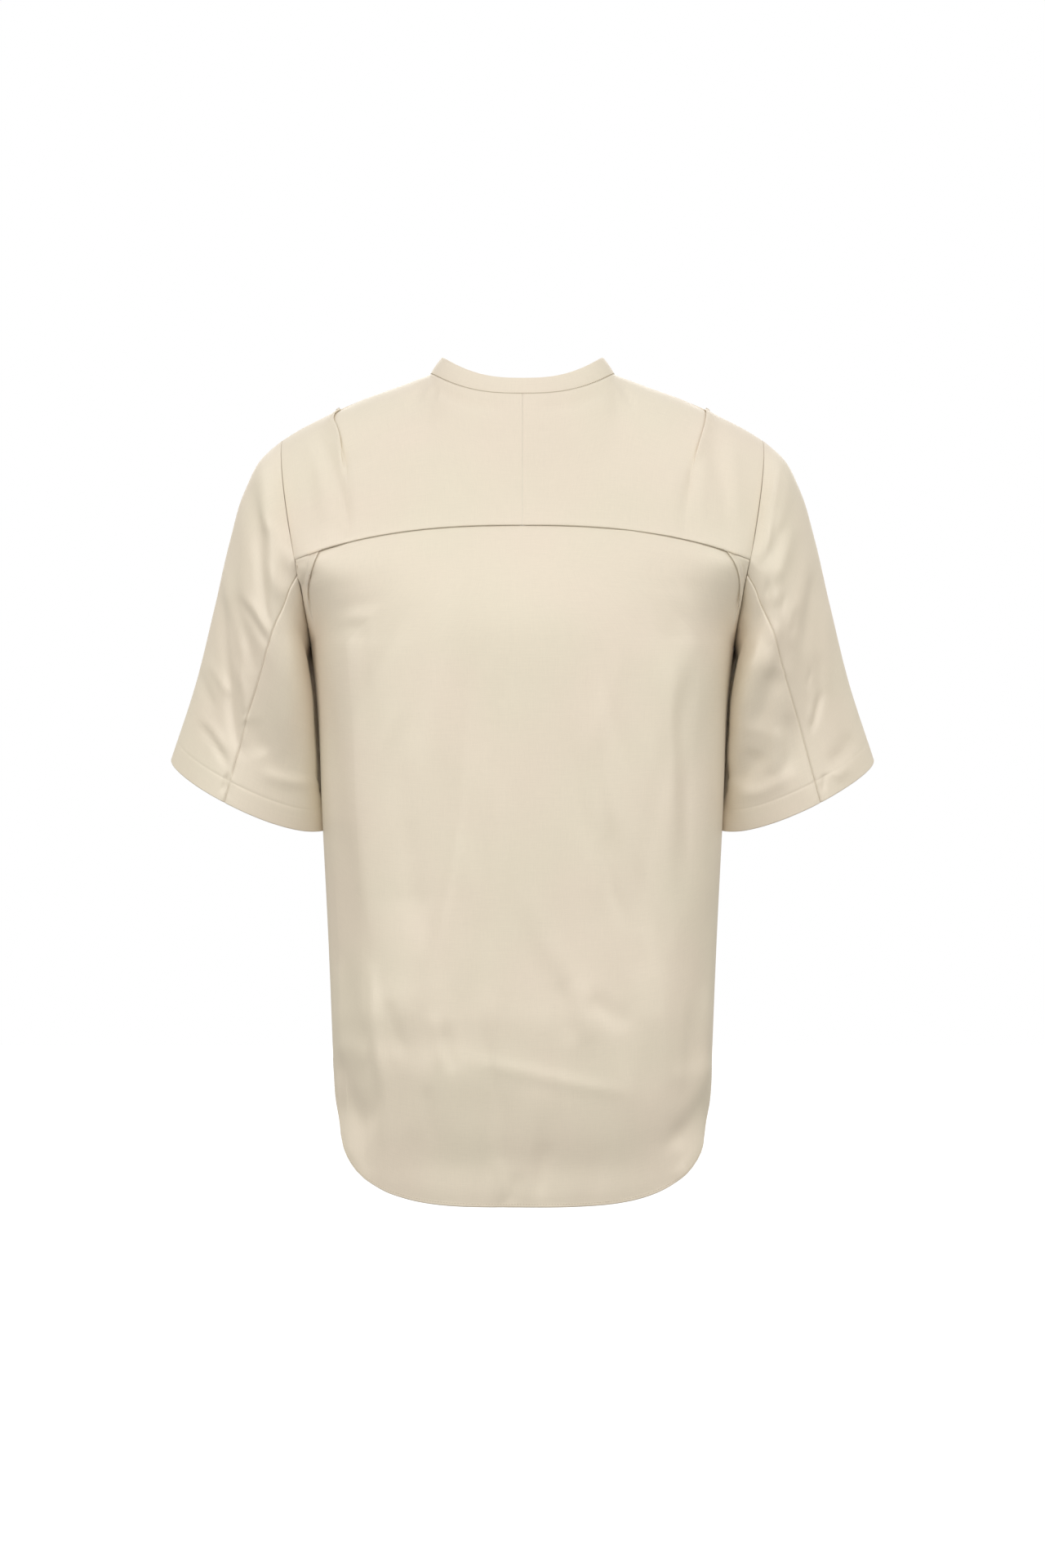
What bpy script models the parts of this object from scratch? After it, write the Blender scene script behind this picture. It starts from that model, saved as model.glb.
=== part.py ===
"""A tie-neck blouse, filled out as it is worn and hollow, made from the pieces that it is sewn from.

+X is the wearer's left, +Y the back and +Z up. The origin lies midway between the two points where the
shoulder seams meet the neckband. Every size is in millimetres until cloth_object() makes metres of it.

Each piece starts as a grid of points on its outer face: rows run down it, and columns run clockwise round
the wearer as seen from above. Its wall lies inward of that face. Solidify isn't used for it, because pieces
that meet at a seam need the same inward direction there, or their edges would run into each other.
"""
import math
from collections import namedtuple

import bpy
import numpy as np

MILLIMETRE = 0.001
OBJECT_NAME = "tie_neck_blouse"

# The cloth
WALL = 1.2  # one layer
HEM_WALL = 2.4  # two layers, where a hem is turned up
BAND_WALL = 2.0  # the neckband and the ties, of doubled cloth
SEAM = 0.3  # between the edges of two pieces that are sewn together
CUFF_HEM = 19.0  # how deep the cuffs are turned up
TAIL_HEM = 3.4  # the narrow rolled hem round the bottom edge
HEM_STEP = 0.4  # over which a hem's second layer begins

# The neck: an oval seam that lies lower at the back and lowest at the front
NECK_HALF_WIDTH = 79.0
NECK_BACK = 65.0
NECK_BACK_DROP = 21.7
NECK_FRONT = 78.0
NECK_FRONT_DROP = 78.0
NECK_BACK_DIP = 2.6  # the higher, the flatter the seam is at centre back
NECK_FRONT_DIP = 1.5
NECK_SQUARE = 0.92  # 1 is an ellipse from above, less is squarer
BAND_RISE = 14.4
BAND_LEAN = 10.0  # how far the band leans in over its rise
BAND_SHARES = (1.0, 0.5, 0.0)
SLIT_HALF_WIDTH = 5.0  # the slit at centre front, at the neckband
SLIT_SHARE = 0.72  # how far down the upper front it runs

# The torso below the arms is a ring of four rounded quarters
UNDERARM_HEIGHT = -232.0
ROUNDNESS = 0.83  # 1 is an ellipse, less is squarer
Section = namedtuple("Section", "height half_width back front")
TORSO = [
    Section(-150, 190.0, 113, 122),
    Section(-232, 181.0, 115, 137),
    Section(-281, 176.5, 114, 141),
    Section(-390, 171.0, 111, 138),
    Section(-491, 166.0, 108, 134),
    Section(-582, 162.4, 107, 131),
    Section(-720, 158.5, 108, 129),
]

# The shirt-tail hem drops from the side seams to centre back and centre front
SIDE_HEM_HEIGHT = -584.0
TAIL_DROP_BACK = 122.0
TAIL_DROP_FRONT = 96.0
TAIL_ROUNDNESS = 3.7

# The shoulder seam, from the neckband to the armhole
Shoulder = namedtuple("Shoulder", "out height")
SHOULDER = [
    Shoulder(79.0, 0.0),
    Shoulder(104.0, -9.4),
    Shoulder(143.5, -24.0),
    Shoulder(172.0, -37.4),
    Shoulder(190.0, -46.6),
    Shoulder(206.0, -56.5),
]

# The yoke's lower seam, and the place of the neck's corner among the columns of a top edge
YOKE_HEIGHT = -135.3
YOKE_DROP = 27.0
YOKE_BEND = 2.5
YOKE_HALF_WIDTH = 192.0
YOKE_BACK = 106.0
YOKE_SIDE_BACK = 70.0
YOKE_TURN = 0.93  # how far round the torso the yoke ends: 1 is its side
CORNER = 0.42
CORNER_OUT = 0.41  # the share of the yoke seam's half width below that corner
FRONT_CORNER_ANGLE = 30.0  # where that corner's column meets the ring at the underarm

# Which way the cloth leaves a panel's upper edge and arrives at its lower one, times about the way between.
# The corner is the neck's, where the shoulder seam begins.
YOKE_LEAVES_NECK = np.array((0, 55, -94))
YOKE_LEAVES_CORNER = np.array((8, 128, -22))
YOKE_LEAVES_ARMHOLE = np.array((6, 108, -40))
YOKE_ARRIVES_CENTRE = np.array((0, 14, -112))
YOKE_ARRIVES_ARMHOLE = np.array((-22, 12, -112))
BACK_LEAVES_CENTRE = np.array((0, 11, -90))
BACK_LEAVES_ARMHOLE = np.array((-20, -14, -82))
BACK_ARRIVES_CENTRE = np.array((0, -1, -95))
BACK_ARRIVES_UNDERARM = np.array((-2, -95, -30))
FRONT_LEAVES_NECK = np.array((0, -70, -120))
FRONT_LEAVES_CORNER = np.array((10, -190, -40))
FRONT_LEAVES_ARMHOLE = np.array((4, -225, -110))
FRONT_ARRIVES_CENTRE = np.array((0, -25, -215))
FRONT_ARRIVES_UNDERARM = np.array((-8, 235, -70))
SIDE_FROM = 0.62  # the column from which an upper panel begins to turn towards the armhole

# How many steps the grids take
NECK_STEPS = 8
YOKE_ROWS = 10
BACK_UPPER_SHARES = (0, 0.15, 0.29, 0.37, 0.45, 0.53, 0.62, 0.75, 0.88, 1)  # closer where the pleat opens
BACK_UPPER_ROWS = len(BACK_UPPER_SHARES) - 1
FRONT_UPPER_ROWS = 10
UPPER_FRONT = np.linspace(0, 1, FRONT_UPPER_ROWS + 1)
SHOULDER_STEPS = 8
LOWER_ROWS = 13
SLEEVE_ROWS = 9

# The section of a knife pleat, followed from the outer part, which lies on top, inward to the centre part
# below it: steps that turn round the visible fold, run back out under it and turn again. heading is 0
# towards the centre and 180 back out, and depth is the share of the pleat's depth that a step adds.
EDGE_RADIUS = 1.9  # of the outer face round the visible fold
HIDDEN_RADIUS = 0.45  # of the outer face inside the hidden one
FoldStep = namedtuple("FoldStep", "length depth heading")
EDGE_STEP = 2 * EDGE_RADIUS * math.sin(math.radians(22.5))
HIDDEN_STEP = 2 * HIDDEN_RADIUS * math.sin(math.radians(45))
FOLD_STEPS = [
    FoldStep(EDGE_STEP, 0, 22.5),
    FoldStep(EDGE_STEP, 0, 67.5),
    FoldStep(EDGE_STEP, 0, 112.5),
    FoldStep(EDGE_STEP, 0, 157.5),
    FoldStep(0.6, 1, 180.0),
    FoldStep(HIDDEN_STEP, 0, 135.0),
    FoldStep(HIDDEN_STEP, 0, 45.0),
    FoldStep(0.6, 1, 0.0),
]
# Past the fold the centre part rises to its own surface again
Rise = namedtuple("Rise", "inward below")
FOLD_RISE = [Rise(7.0, 0.6), Rise(18.0, 0.12), Rise(28.0, 0.0)]
OUTER_REACH = (4.0, 12.0)  # the fold's columns on the outer part, outward of the fold

# How a fold runs down its panel, by share of the upper rows (back) or of the yoke (tuck). place is its
# column, and turn is 1 while it lies flat and 0 once it has opened.
FoldRun = namedtuple("FoldRun", "at place depth turn")
BACK_PLEAT = [
    FoldRun(0.00, 0.740, 12.0, 1.0),
    FoldRun(0.29, 0.770, 9.0, 1.0),
    FoldRun(0.45, 0.780, 0.5, 1.0),
    FoldRun(0.62, 0.785, 0.0, 0.45),
    FoldRun(0.88, 0.770, 0.0, 0.0),
    FoldRun(2.00, 0.740, 0.0, 0.0),
]
TUCK_SIZE = 0.55  # of the back pleat's radii
TUCK_LIFT = 2.2
TUCK_SPREAD = 9.0  # over which the cloth rises to the tuck
TUCK = [
    FoldRun(0.00, 0.770, 0.0, 0.6),
    FoldRun(0.30, 0.785, 0.0, 0.6),
    FoldRun(0.62, 0.770, 0.0, 0.0),
    FoldRun(1.00, 0.770, 0.0, 0.0),
]

# The largest soft folds of the back: ridges (raised) and hollows along straight lines on it
Fold = namedtuple("Fold", "name x_1 z_1 x_2 z_2 width raised")
FOLDS = [
    Fold("wave across the tail", 85, -578, -100, -610, 24, 4.0),
    Fold("hollow under the wave", 100, -630, -105, -655, 26, -4.0),
    Fold("left of the tail's middle", 40, -640, 12, -706, 12, 2.0),
    Fold("right of the tail's middle", -35, -650, -10, -706, 12, 2.0),
    Fold("left side, long", 150, -260, 140, -600, 14, 2.5),
    Fold("right side, long", -148, -300, -138, -560, 14, 2.0),
]

# The sleeve's rings below the armhole. outer and inner are the ring's ends across the view from behind,
# centre_y and half_depth place its back and front, and drop lowers its back.
SleeveRing = namedtuple("SleeveRing", "outer_x outer_z inner_x inner_z centre_y half_depth drop")
SLEEVE = [
    SleeveRing(222.5, -71.4, 183.8, -243, 2, 67, 0),
    SleeveRing(238.0, -99.4, 182.8, -254, -1, 66, 3),
    SleeveRing(250.9, -141.4, 181.2, -275, -5, 65, 6),
    SleeveRing(264.0, -197.4, 178.8, -303, -12, 62, 12),
    SleeveRing(281.2, -267.4, 176.4, -343, -22, 57, 18),
    SleeveRing(302.6, -334.6, 174.6, -383, -32, 52, 23),
]
SLEEVE_ROUNDNESS = 1.05
RING_LEAN = 0.75  # how far a ring's back also leans inward, by its drop
SEAM_AT_CUFF = 68.0  # the back seam's angle round the cuff, from the outer end towards the back
SLEEVE_SEAM_ROWS = 1  # rows of the back panel between the yoke's end and the top of that seam

# The ties start on the ends of the neckband and lie on the front below it
TIE_WIDTH = 16.0
TIE_INSET = 2.0  # from the edge of the slit at the top
TIE_SPREAD = 16.0  # how far each tie drifts outward on its way down
TIE_BAND_SHARES = (0.8, 0.4, 0.0)  # of the band's rise
TIE_LOWER_ROWS = 4  # how many of the front's rows below the underarm they cover

SATIN = (0.76, 0.69, 0.56, 1.0)
SATIN_ROUGHNESS = 0.42


# A piece's outer face: a grid of points and the outward direction at each
Panel = namedtuple("Panel", "grid out")
LEFT_TO_RIGHT = np.array((-1, 1, 1))


def spline(rows, by, column, at):
    """The value of a table's column at a place between its rows, on a smooth curve through them."""
    places = np.array([getattr(row, by) for row in rows], float)
    values = np.array([getattr(row, column) for row in rows], float)
    order = np.argsort(places)
    return through(places[order], values[order], at)


def through(places, values, at):
    """A smooth curve through values at increasing places."""
    slopes = np.gradient(values, places, axis=0)
    at = min(max(at, places[0]), places[-1])
    k = min(int(np.searchsorted(places, at, side="right")) - 1, len(places) - 2)
    step = places[k + 1] - places[k]
    return hermite(
        values[k], slopes[k] * step, values[k + 1], slopes[k + 1] * step, (at - places[k]) / step
    )


def hermite(start, leaving, end, arriving, share):
    """A cubic from start to end with the given directions there."""
    back = 1 - share
    return (
        (1 + 2 * share) * back**2 * start
        + share * back**2 * leaving
        + share**2 * (3 - 2 * share) * end
        - share**2 * back * arriving
    )


def ease(share):
    """0 to 1 along a soft S."""
    share = min(max(share, 0.0), 1.0)
    return share * share * (3 - 2 * share)


def mix(first, second, share):
    return first + (second - first) * share


def vector(x, y, z):
    return np.array((x, y, z), float)


def torso(angle, height):
    """A point on the torso's ring at a height. The angle runs clockwise from centre back, in radians."""
    across, along = math.sin(angle), math.cos(angle)
    depth = spline(TORSO, "height", "back" if along > 0 else "front", height)
    half_width = spline(TORSO, "height", "half_width", height)
    return vector(
        half_width * math.copysign(abs(across) ** ROUNDNESS, across),
        depth * math.copysign(abs(along) ** ROUNDNESS, along),
        height,
    )


def tail_height(angle):
    """The hem's height at an angle round the torso."""
    drop = TAIL_DROP_BACK if math.cos(angle) > 0 else TAIL_DROP_FRONT
    across = min(abs(math.sin(angle)) ** ROUNDNESS, 1.0)
    return SIDE_HEM_HEIGHT - drop * (1 - across**TAIL_ROUNDNESS) ** (1 / TAIL_ROUNDNESS)


def lower_height(angle, share):
    """The height at a share of the way from the underarm to the hem."""
    return mix(UNDERARM_HEIGHT, tail_height(angle), share)


def neck(angle):
    """A point of the neck seam. The angle runs from centre back, and is past a right angle at the front."""
    across, along = math.sin(angle), math.cos(angle)
    if along > 0:
        depth, drop = NECK_BACK, NECK_BACK_DROP * (1 - abs(across) ** NECK_BACK_DIP)
    else:
        depth, drop = NECK_FRONT, NECK_FRONT_DROP * abs(along) ** NECK_FRONT_DIP
    return vector(
        NECK_HALF_WIDTH * across, depth * math.copysign(abs(along) ** NECK_SQUARE, along), -drop
    )


def shoulder(share):
    """A point of the shoulder seam, from the neckband (0) to the armhole (1)."""
    out = mix(SHOULDER[0].out, SHOULDER[-1].out, share)
    return vector(out, 0, spline(SHOULDER, "out", "height", out))


def past_corner(column):
    """How far along the shoulder seam a column's top is."""
    return (column - CORNER) / (1 - CORNER)


def yoke_seam(out_share):
    """A point of the yoke's lower seam, from centre back (0) to the armhole (1)."""
    here = math.cos(math.asin(YOKE_TURN * min(out_share, 1.0) ** (1 / ROUNDNESS))) ** ROUNDNESS
    end = math.cos(math.asin(YOKE_TURN)) ** ROUNDNESS
    bow = (here - end) / (1 - end)
    height = YOKE_HEIGHT - YOKE_DROP * out_share**YOKE_BEND
    return vector(YOKE_HALF_WIDTH * out_share, mix(YOKE_SIDE_BACK, YOKE_BACK, bow), height)


def yoke_surface(column, row):
    """The yoke's outer face: column 0 is centre back and 1 the armhole, row 0 the top and 1 the seam."""
    if column < CORNER:
        share = column / CORNER
        start = neck(math.pi / 2 * share)
        leaving = mix(YOKE_LEAVES_NECK, YOKE_LEAVES_CORNER, share**3)
        out_share = CORNER_OUT * share
    else:
        share = past_corner(column)
        start = shoulder(share)
        leaving = mix(YOKE_LEAVES_CORNER, YOKE_LEAVES_ARMHOLE, share)
        out_share = mix(CORNER_OUT, 1, share)
    arriving = mix(YOKE_ARRIVES_CENTRE, YOKE_ARRIVES_ARMHOLE, out_share**4)
    return hermite(start, leaving, yoke_seam(out_share), arriving, row)


def side_share(column):
    """How much a column feels the armhole that the upper panel ends at."""
    return ease((column - SIDE_FROM) / (1 - SIDE_FROM))


def drape(point):
    """The soft folds' height at a point of the back."""
    total = 0.0
    for fold in FOLDS:
        start = np.array((fold.x_1, fold.z_1), float)
        line = np.array((fold.x_2, fold.z_2), float) - start
        share = float(np.dot(point[[0, 2]] - start, line) / np.dot(line, line))
        nearest = start + line * min(max(share, 0.0), 1.0)
        away = float(np.linalg.norm(point[[0, 2]] - nearest))
        total += fold.raised * math.exp(-((away / fold.width) ** 2))
    return total


def back_surface(column, row):
    """The back panel's outer face on the left: row 0 is the yoke seam, 1 the underarm and 2 the hem."""
    angle = math.pi / 2 * column
    if row <= 1:
        start = yoke_seam(min(math.sin(angle) ** ROUNDNESS, 1.0)) - vector(0, 0, SEAM)
        feel = side_share(column)
        leaving = mix(BACK_LEAVES_CENTRE, BACK_LEAVES_ARMHOLE, feel)
        arriving = mix(BACK_ARRIVES_CENTRE, BACK_ARRIVES_UNDERARM, feel**2)
        return hermite(start, leaving, torso(angle, UNDERARM_HEIGHT), arriving, row)
    return torso(angle, lower_height(angle, row - 1))


def front_surface(column, row):
    """The front's outer face on the left: column 0 is centre front, row 0 the top, 1 the underarm."""
    if column < CORNER:
        share = column / CORNER
        angle = math.pi - math.radians(FRONT_CORNER_ANGLE) * share
    else:
        share = past_corner(column)
        angle = math.pi - mix(math.radians(FRONT_CORNER_ANGLE), math.pi / 2, share)
    if row > 1:
        return torso(angle, lower_height(angle, row - 1))
    if column < CORNER:
        start = neck(math.pi - math.pi / 2 * share)
        leaving = mix(FRONT_LEAVES_NECK, FRONT_LEAVES_CORNER, share**3)
    else:
        start = shoulder(share) - vector(0, SEAM, 0)
        leaving = mix(FRONT_LEAVES_CORNER, FRONT_LEAVES_ARMHOLE, share)
    feel = side_share(column)
    arriving = mix(FRONT_ARRIVES_CENTRE, FRONT_ARRIVES_UNDERARM, feel**2)
    return hermite(start, leaving, torso(angle, UNDERARM_HEIGHT), arriving, row)


def slit_opening(column, row):
    """How far a point of the front is moved aside by the slit: most at centre front, none past the corner."""
    return SLIT_HALF_WIDTH * max(1 - row / SLIT_SHARE, 0.0) * max(1 - column / CORNER, 0.0) ** 2


def front_point(column, row):
    """A point of the front's outer face with its slit."""
    return front_surface(column, row) + vector(slit_opening(column, row), 0, 0)


def facing(surface, column, row):
    """A surface's outward direction, from small steps across and down it."""
    step = 1e-3
    left, right = max(column - step, 0.0), min(column + step, 1.0)
    up, down = max(row - step, 0.0), row + step if row < 1 else row
    if row >= 1:
        up = row - step
    across = surface(right, row) - surface(left, row)
    along = surface(column, down) - surface(column, up)
    direction = np.cross(across, along)
    return direction / np.linalg.norm(direction)


def fold_section(depth, turn, size):
    """A fold's section as (outward of the fold, above the surface), from the centre part outward."""
    along, above = EDGE_RADIUS * size, 0.0
    section = [(reach, 0.0) for reach in reversed(OUTER_REACH)] + [(along, above)]
    for step in FOLD_STEPS:
        length = step.length * size + step.depth * depth
        heading = math.radians(step.heading * turn)
        along -= length * math.cos(heading)
        above -= length * math.sin(heading)
        section.append((along, above))
    section += [(along - rise.inward, above * rise.below) for rise in FOLD_RISE]
    return section[::-1]


def pleated_row(surface, row, run, size, lift, before, after):
    """One row of a panel's left half whose surface is folded. before and after place its plain columns."""
    place, depth, turn = (along_run(run, column, row) for column in ("place", "depth", "turn"))
    step = 1e-3
    per_millimetre = 2 * step / np.linalg.norm(surface(place + step, row) - surface(place - step, row))
    folded, columns = [], []
    for along, above in fold_section(depth, turn, size):
        column = place + along * per_millimetre
        above += lift * turn * math.exp(-((along / TUCK_SPREAD) ** 2))
        folded.append(surface(column, row) + facing(surface, column, row) * above)
        columns.append(column)
    plain = [surface(column, row) for column in before(columns[0])]
    rest = [surface(column, row) for column in after(columns[-1])]
    return plain + folded + rest


def along_run(run, column, at):
    """A fold's value at a row, eased between the rows of its table."""
    for upper, lower in zip(run, run[1:]):
        if at <= lower.at:
            share = ease((at - upper.at) / (lower.at - upper.at))
            return mix(getattr(upper, column), getattr(lower, column), share)
    return getattr(run[-1], column)


def unit(directions):
    return directions / np.linalg.norm(directions, axis=-1, keepdims=True)


def without(directions, axis):
    """Directions with their share along one axis taken out."""
    return unit(np.where(np.arange(3) == axis, 0.0, directions))


def outward(grid):
    """The outward direction at each point of a grid."""
    return unit(np.cross(np.gradient(grid, axis=1), np.gradient(grid, axis=0)))


def mirrored(panel):
    """The same panel on the wearer's right, with its columns still clockwise."""
    return Panel((panel.grid * LEFT_TO_RIGHT)[:, ::-1], (panel.out * LEFT_TO_RIGHT)[:, ::-1])


def yoke():
    """The left yoke, from centre back to the armhole, with the tuck at its shoulder."""
    def before(end):
        return np.concatenate(
            [np.linspace(0, CORNER, NECK_STEPS + 1), np.linspace(CORNER, end, 4)[1:-1]]
        )

    def after(start):
        return np.linspace(start, 1, 4)[1:]

    rows = [
        pleated_row(yoke_surface, row, TUCK, TUCK_SIZE, TUCK_LIFT, before, after)
        for row in np.linspace(0, 1, YOKE_ROWS + 1)
    ]
    grid = np.array(rows)
    out = outward(grid)
    along_shoulder = grid[0, :, 0] > NECK_HALF_WIDTH - SEAM
    grid[0, along_shoulder, 1] = 0.0
    out[0, along_shoulder] = without(out[0, along_shoulder], 1)
    out[:, 0] = without(out[:, 0], 0)
    out[-1] = without(out[-1], 2)
    grid[:, 0, 0] += SEAM / 2
    return Panel(grid, out)


def lower_rows():
    """Shares of the way from the underarm to the hem."""
    return np.linspace(0, 1, LOWER_ROWS + 1)[1:]


def with_hem(grid, depth):
    """Moves the last two rows of a grid with one row added, so that a hem begins depth above the edge."""
    edge, above = grid[-1], grid[-2]
    up = (above - edge) / np.linalg.norm(above - edge, axis=1, keepdims=True)
    return np.concatenate([grid[:-1], [edge + up * (depth + HEM_STEP), edge + up * depth, edge]])


def back_half():
    """The left half of the back panel."""
    def before(end):
        return np.linspace(0, end, 9)[:-1]

    def after(start):
        return np.linspace(start, 1, 4)[1:]

    shares = np.concatenate([BACK_UPPER_SHARES, 1 + lower_rows()])
    rows = [pleated_row(back_surface, row, BACK_PLEAT, 1.0, 0.0, before, after) for row in shares]
    grid = np.array(rows)
    grid[BACK_UPPER_ROWS:, -1, 1] += SEAM / 2
    return grid


def back_panel():
    """The back panel from the wearer's right side seam to the left one."""
    left = back_half()
    right = (left * LEFT_TO_RIGHT)[:, ::-1]
    grid = np.concatenate([right[:, :-1], left], axis=1)
    level = unit(grid * np.array((1, 1, 0)))
    heights = np.array([[drape(point) for point in row] for row in grid])
    grid = with_hem(grid + level * heights[:, :, None], TAIL_HEM)
    out = outward(grid)
    out[0] = without(out[0], 2)
    for edge in (0, -1):
        out[BACK_UPPER_ROWS:, edge] = without(out[BACK_UPPER_ROWS:, edge], 1)
    return Panel(grid, out)


def front():
    """The left half of the front panel, from the side seam to centre front, with half the slit."""
    columns = np.concatenate(
        [np.linspace(0, CORNER, NECK_STEPS + 1), np.linspace(CORNER, 1, SHOULDER_STEPS + 1)[1:]]
    )
    shares = np.concatenate([UPPER_FRONT, 1 + lower_rows()])
    grid = np.array([[front_point(column, row) for column in columns] for row in shares])
    grid[FRONT_UPPER_ROWS:, -1, 1] -= SEAM / 2
    grid = with_hem(grid[:, ::-1], TAIL_HEM)
    out = outward(grid)
    along_shoulder = grid[0, :, 0] > NECK_HALF_WIDTH - SEAM
    out[0, along_shoulder] = without(out[0, along_shoulder], 1)
    out[:, -1] = without(out[:, -1], 0)
    out[FRONT_UPPER_ROWS:, 0] = without(out[FRONT_UPPER_ROWS:, 0], 1)
    return Panel(grid, out)


def armhole(front_left, back, yoke_left):
    """The left armhole's panels and edge points: down the front, then up the back and the yoke."""
    down_front = [(front_left, (row, 0)) for row in range(FRONT_UPPER_ROWS)]
    up_back = [(back, (row, -1)) for row in range(BACK_UPPER_ROWS, 0, -1)]
    up_yoke = [(yoke_left, (row, -1)) for row in range(YOKE_ROWS, -1, -1)]
    return down_front + up_back + up_yoke[:-1]


def sleeve_ring(ring, angle):
    """A point of a sleeve's ring. The angle runs from its outer end towards the back, in radians."""
    across = math.copysign(abs(math.cos(angle)) ** SLEEVE_ROUNDNESS, math.cos(angle))
    along = math.copysign(abs(math.sin(angle)) ** SLEEVE_ROUNDNESS, math.sin(angle))
    middle = vector((ring.outer_x + ring.inner_x) / 2, ring.centre_y, (ring.outer_z + ring.inner_z) / 2)
    half = vector((ring.outer_x - ring.inner_x) / 2, 0, (ring.outer_z - ring.inner_z) / 2)
    return middle + half * across + vector(-RING_LEAN * ring.drop, ring.half_depth, -ring.drop) * along


def sleeve_line(start, angle, cuff_angle):
    """One column of a sleeve, from its point at the armhole to the cuff."""
    points = [start]
    for k, ring in enumerate(SLEEVE):
        points.append(sleeve_ring(ring, mix(angle, cuff_angle, ease(k / (len(SLEEVE) - 1)))))
    points = np.array(points)
    places = np.concatenate([[0], np.cumsum(np.linalg.norm(np.diff(points, axis=0), axis=1))])
    hem = places[-1] - CUFF_HEM
    stops = np.concatenate([np.linspace(0, hem - HEM_STEP, SLEEVE_ROWS + 1), [hem, places[-1]]])
    return [through(places, points, stop) for stop in stops]


def sleeve(loop):
    """The left sleeve's upper and under pieces, sewn to the armhole that loop gives."""
    edge = np.array([panel.grid[place] for panel, place in loop])
    places = np.concatenate([[0], np.cumsum(np.linalg.norm(np.diff(edge, axis=0), axis=1))])
    round_it = places[-1] + np.linalg.norm(edge[-1] - edge[0])
    under = FRONT_UPPER_ROWS
    seam = under + BACK_UPPER_ROWS - SLEEVE_SEAM_ROWS
    angles = -np.interp(places, [0, places[under], round_it], [0, math.pi, 2 * math.pi])
    marks = [angles[seam], -math.pi, 0]
    cuff_marks = [math.radians(SEAM_AT_CUFF) - 2 * math.pi, -math.pi, 0]
    cuff_angles = np.interp(angles, [-2 * math.pi] + marks, [-2 * math.pi] + cuff_marks)
    lines = [
        sleeve_line(point + vector(SEAM, 0, 0), angle, cuff_angle)
        for point, angle, cuff_angle in zip(edge, angles, cuff_angles)
    ]
    ring = np.array(lines).transpose(1, 0, 2)
    out = outward(np.concatenate([ring[:, -1:], ring, ring[:, :1]], axis=1))[:, 1:-1]
    share_directions(loop, out[0])
    whole = Panel(np.concatenate([ring, ring], axis=1), np.concatenate([out, out], axis=1))
    upper_end = len(loop) + under
    return piece_of(whole, seam, upper_end), piece_of(whole, under, seam)


def share_directions(loop, sleeve_out):
    """Gives both sides of the armhole one outward direction where the cloth runs on across it."""
    for (panel, place), own in zip(loop, sleeve_out):
        body = panel.out[place].copy()
        shared = unit(body + own)
        runs_on = ease((float(np.dot(body, own)) - 0.1) / 0.5)
        panel.out[place] = unit(mix(body, shared, runs_on))
        own[:] = unit(mix(own, shared, runs_on))


def piece_of(whole, first, last):
    """The columns from first to last, with both side edges drawn in by half a seam."""
    grid = whole.grid[:, first : last + 1].copy()
    for edge, beside in ((0, 1), (-1, -2)):
        grid[:, edge] += unit(grid[:, beside] - grid[:, edge]) * SEAM / 2
    return Panel(grid, whole.out[:, first : last + 1])


def band_point(angle, rise):
    """A point of the neckband's outer face, at a share of its rise above the neck seam."""
    seam = neck(angle)
    inward = unit(-seam * vector(1, 1, 0))
    opening = slit_opening(CORNER * (math.pi - abs(angle)) / (math.pi / 2), 0.0)
    return (
        seam
        + inward * BAND_LEAN * rise
        + vector(math.copysign(opening, angle), 0, SEAM + BAND_RISE * rise)
    )


def band():
    """The neckband, from the slit's right edge round the back to its left edge."""
    angles = np.linspace(-math.pi, math.pi, 4 * NECK_STEPS + 1)
    grid = np.array([[band_point(angle, rise) for angle in angles] for rise in BAND_SHARES])
    return Panel(grid, outward(grid))


def crossing(rising, wanted, high):
    """The place from 0 to high at which a rising function takes a value."""
    low = 0.0
    for _ in range(30):
        middle = (low + high) / 2
        if rising(middle) < wanted:
            low = middle
        else:
            high = middle
    return low


def tie():
    """The left tie: a strip of the band and of the front below it, moved out by its own thickness."""
    def band_at(out, rise):
        past_slit = crossing(lambda angle: band_point(math.pi - angle, rise)[0], out, math.pi / 2)
        return band_point(math.pi - past_slit, rise)

    def front_at(out, row):
        return front_point(crossing(lambda column: front_point(column, row)[0], out, 1.0), row)

    places = [(band_at, rise) for rise in TIE_BAND_SHARES]
    lower = 1 + lower_rows()[:TIE_LOWER_ROWS]
    places += [(front_at, row) for row in np.concatenate([UPPER_FRONT[1:], lower])]
    rows = []
    for number, (point_at, place) in enumerate(places):
        near = SLIT_HALF_WIDTH + TIE_INSET + TIE_SPREAD * number / (len(places) - 1)
        rows.append([point_at(near + TIE_WIDTH * across, place) for across in (1.0, 0.5, 0.0)])
    grid = np.array(rows)
    out = outward(grid)
    return Panel(grid + out * (SEAM + BAND_WALL), out)


def satin(name):
    """The champagne satin of every piece."""
    material = bpy.data.materials.new(name)
    material.use_nodes = True
    shader = material.node_tree.nodes["Principled BSDF"]
    shader.inputs["Base Color"].default_value = SATIN
    shader.inputs["Roughness"].default_value = SATIN_ROUGHNESS
    shader.inputs["Metallic"].default_value = 0.0
    return material


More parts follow.
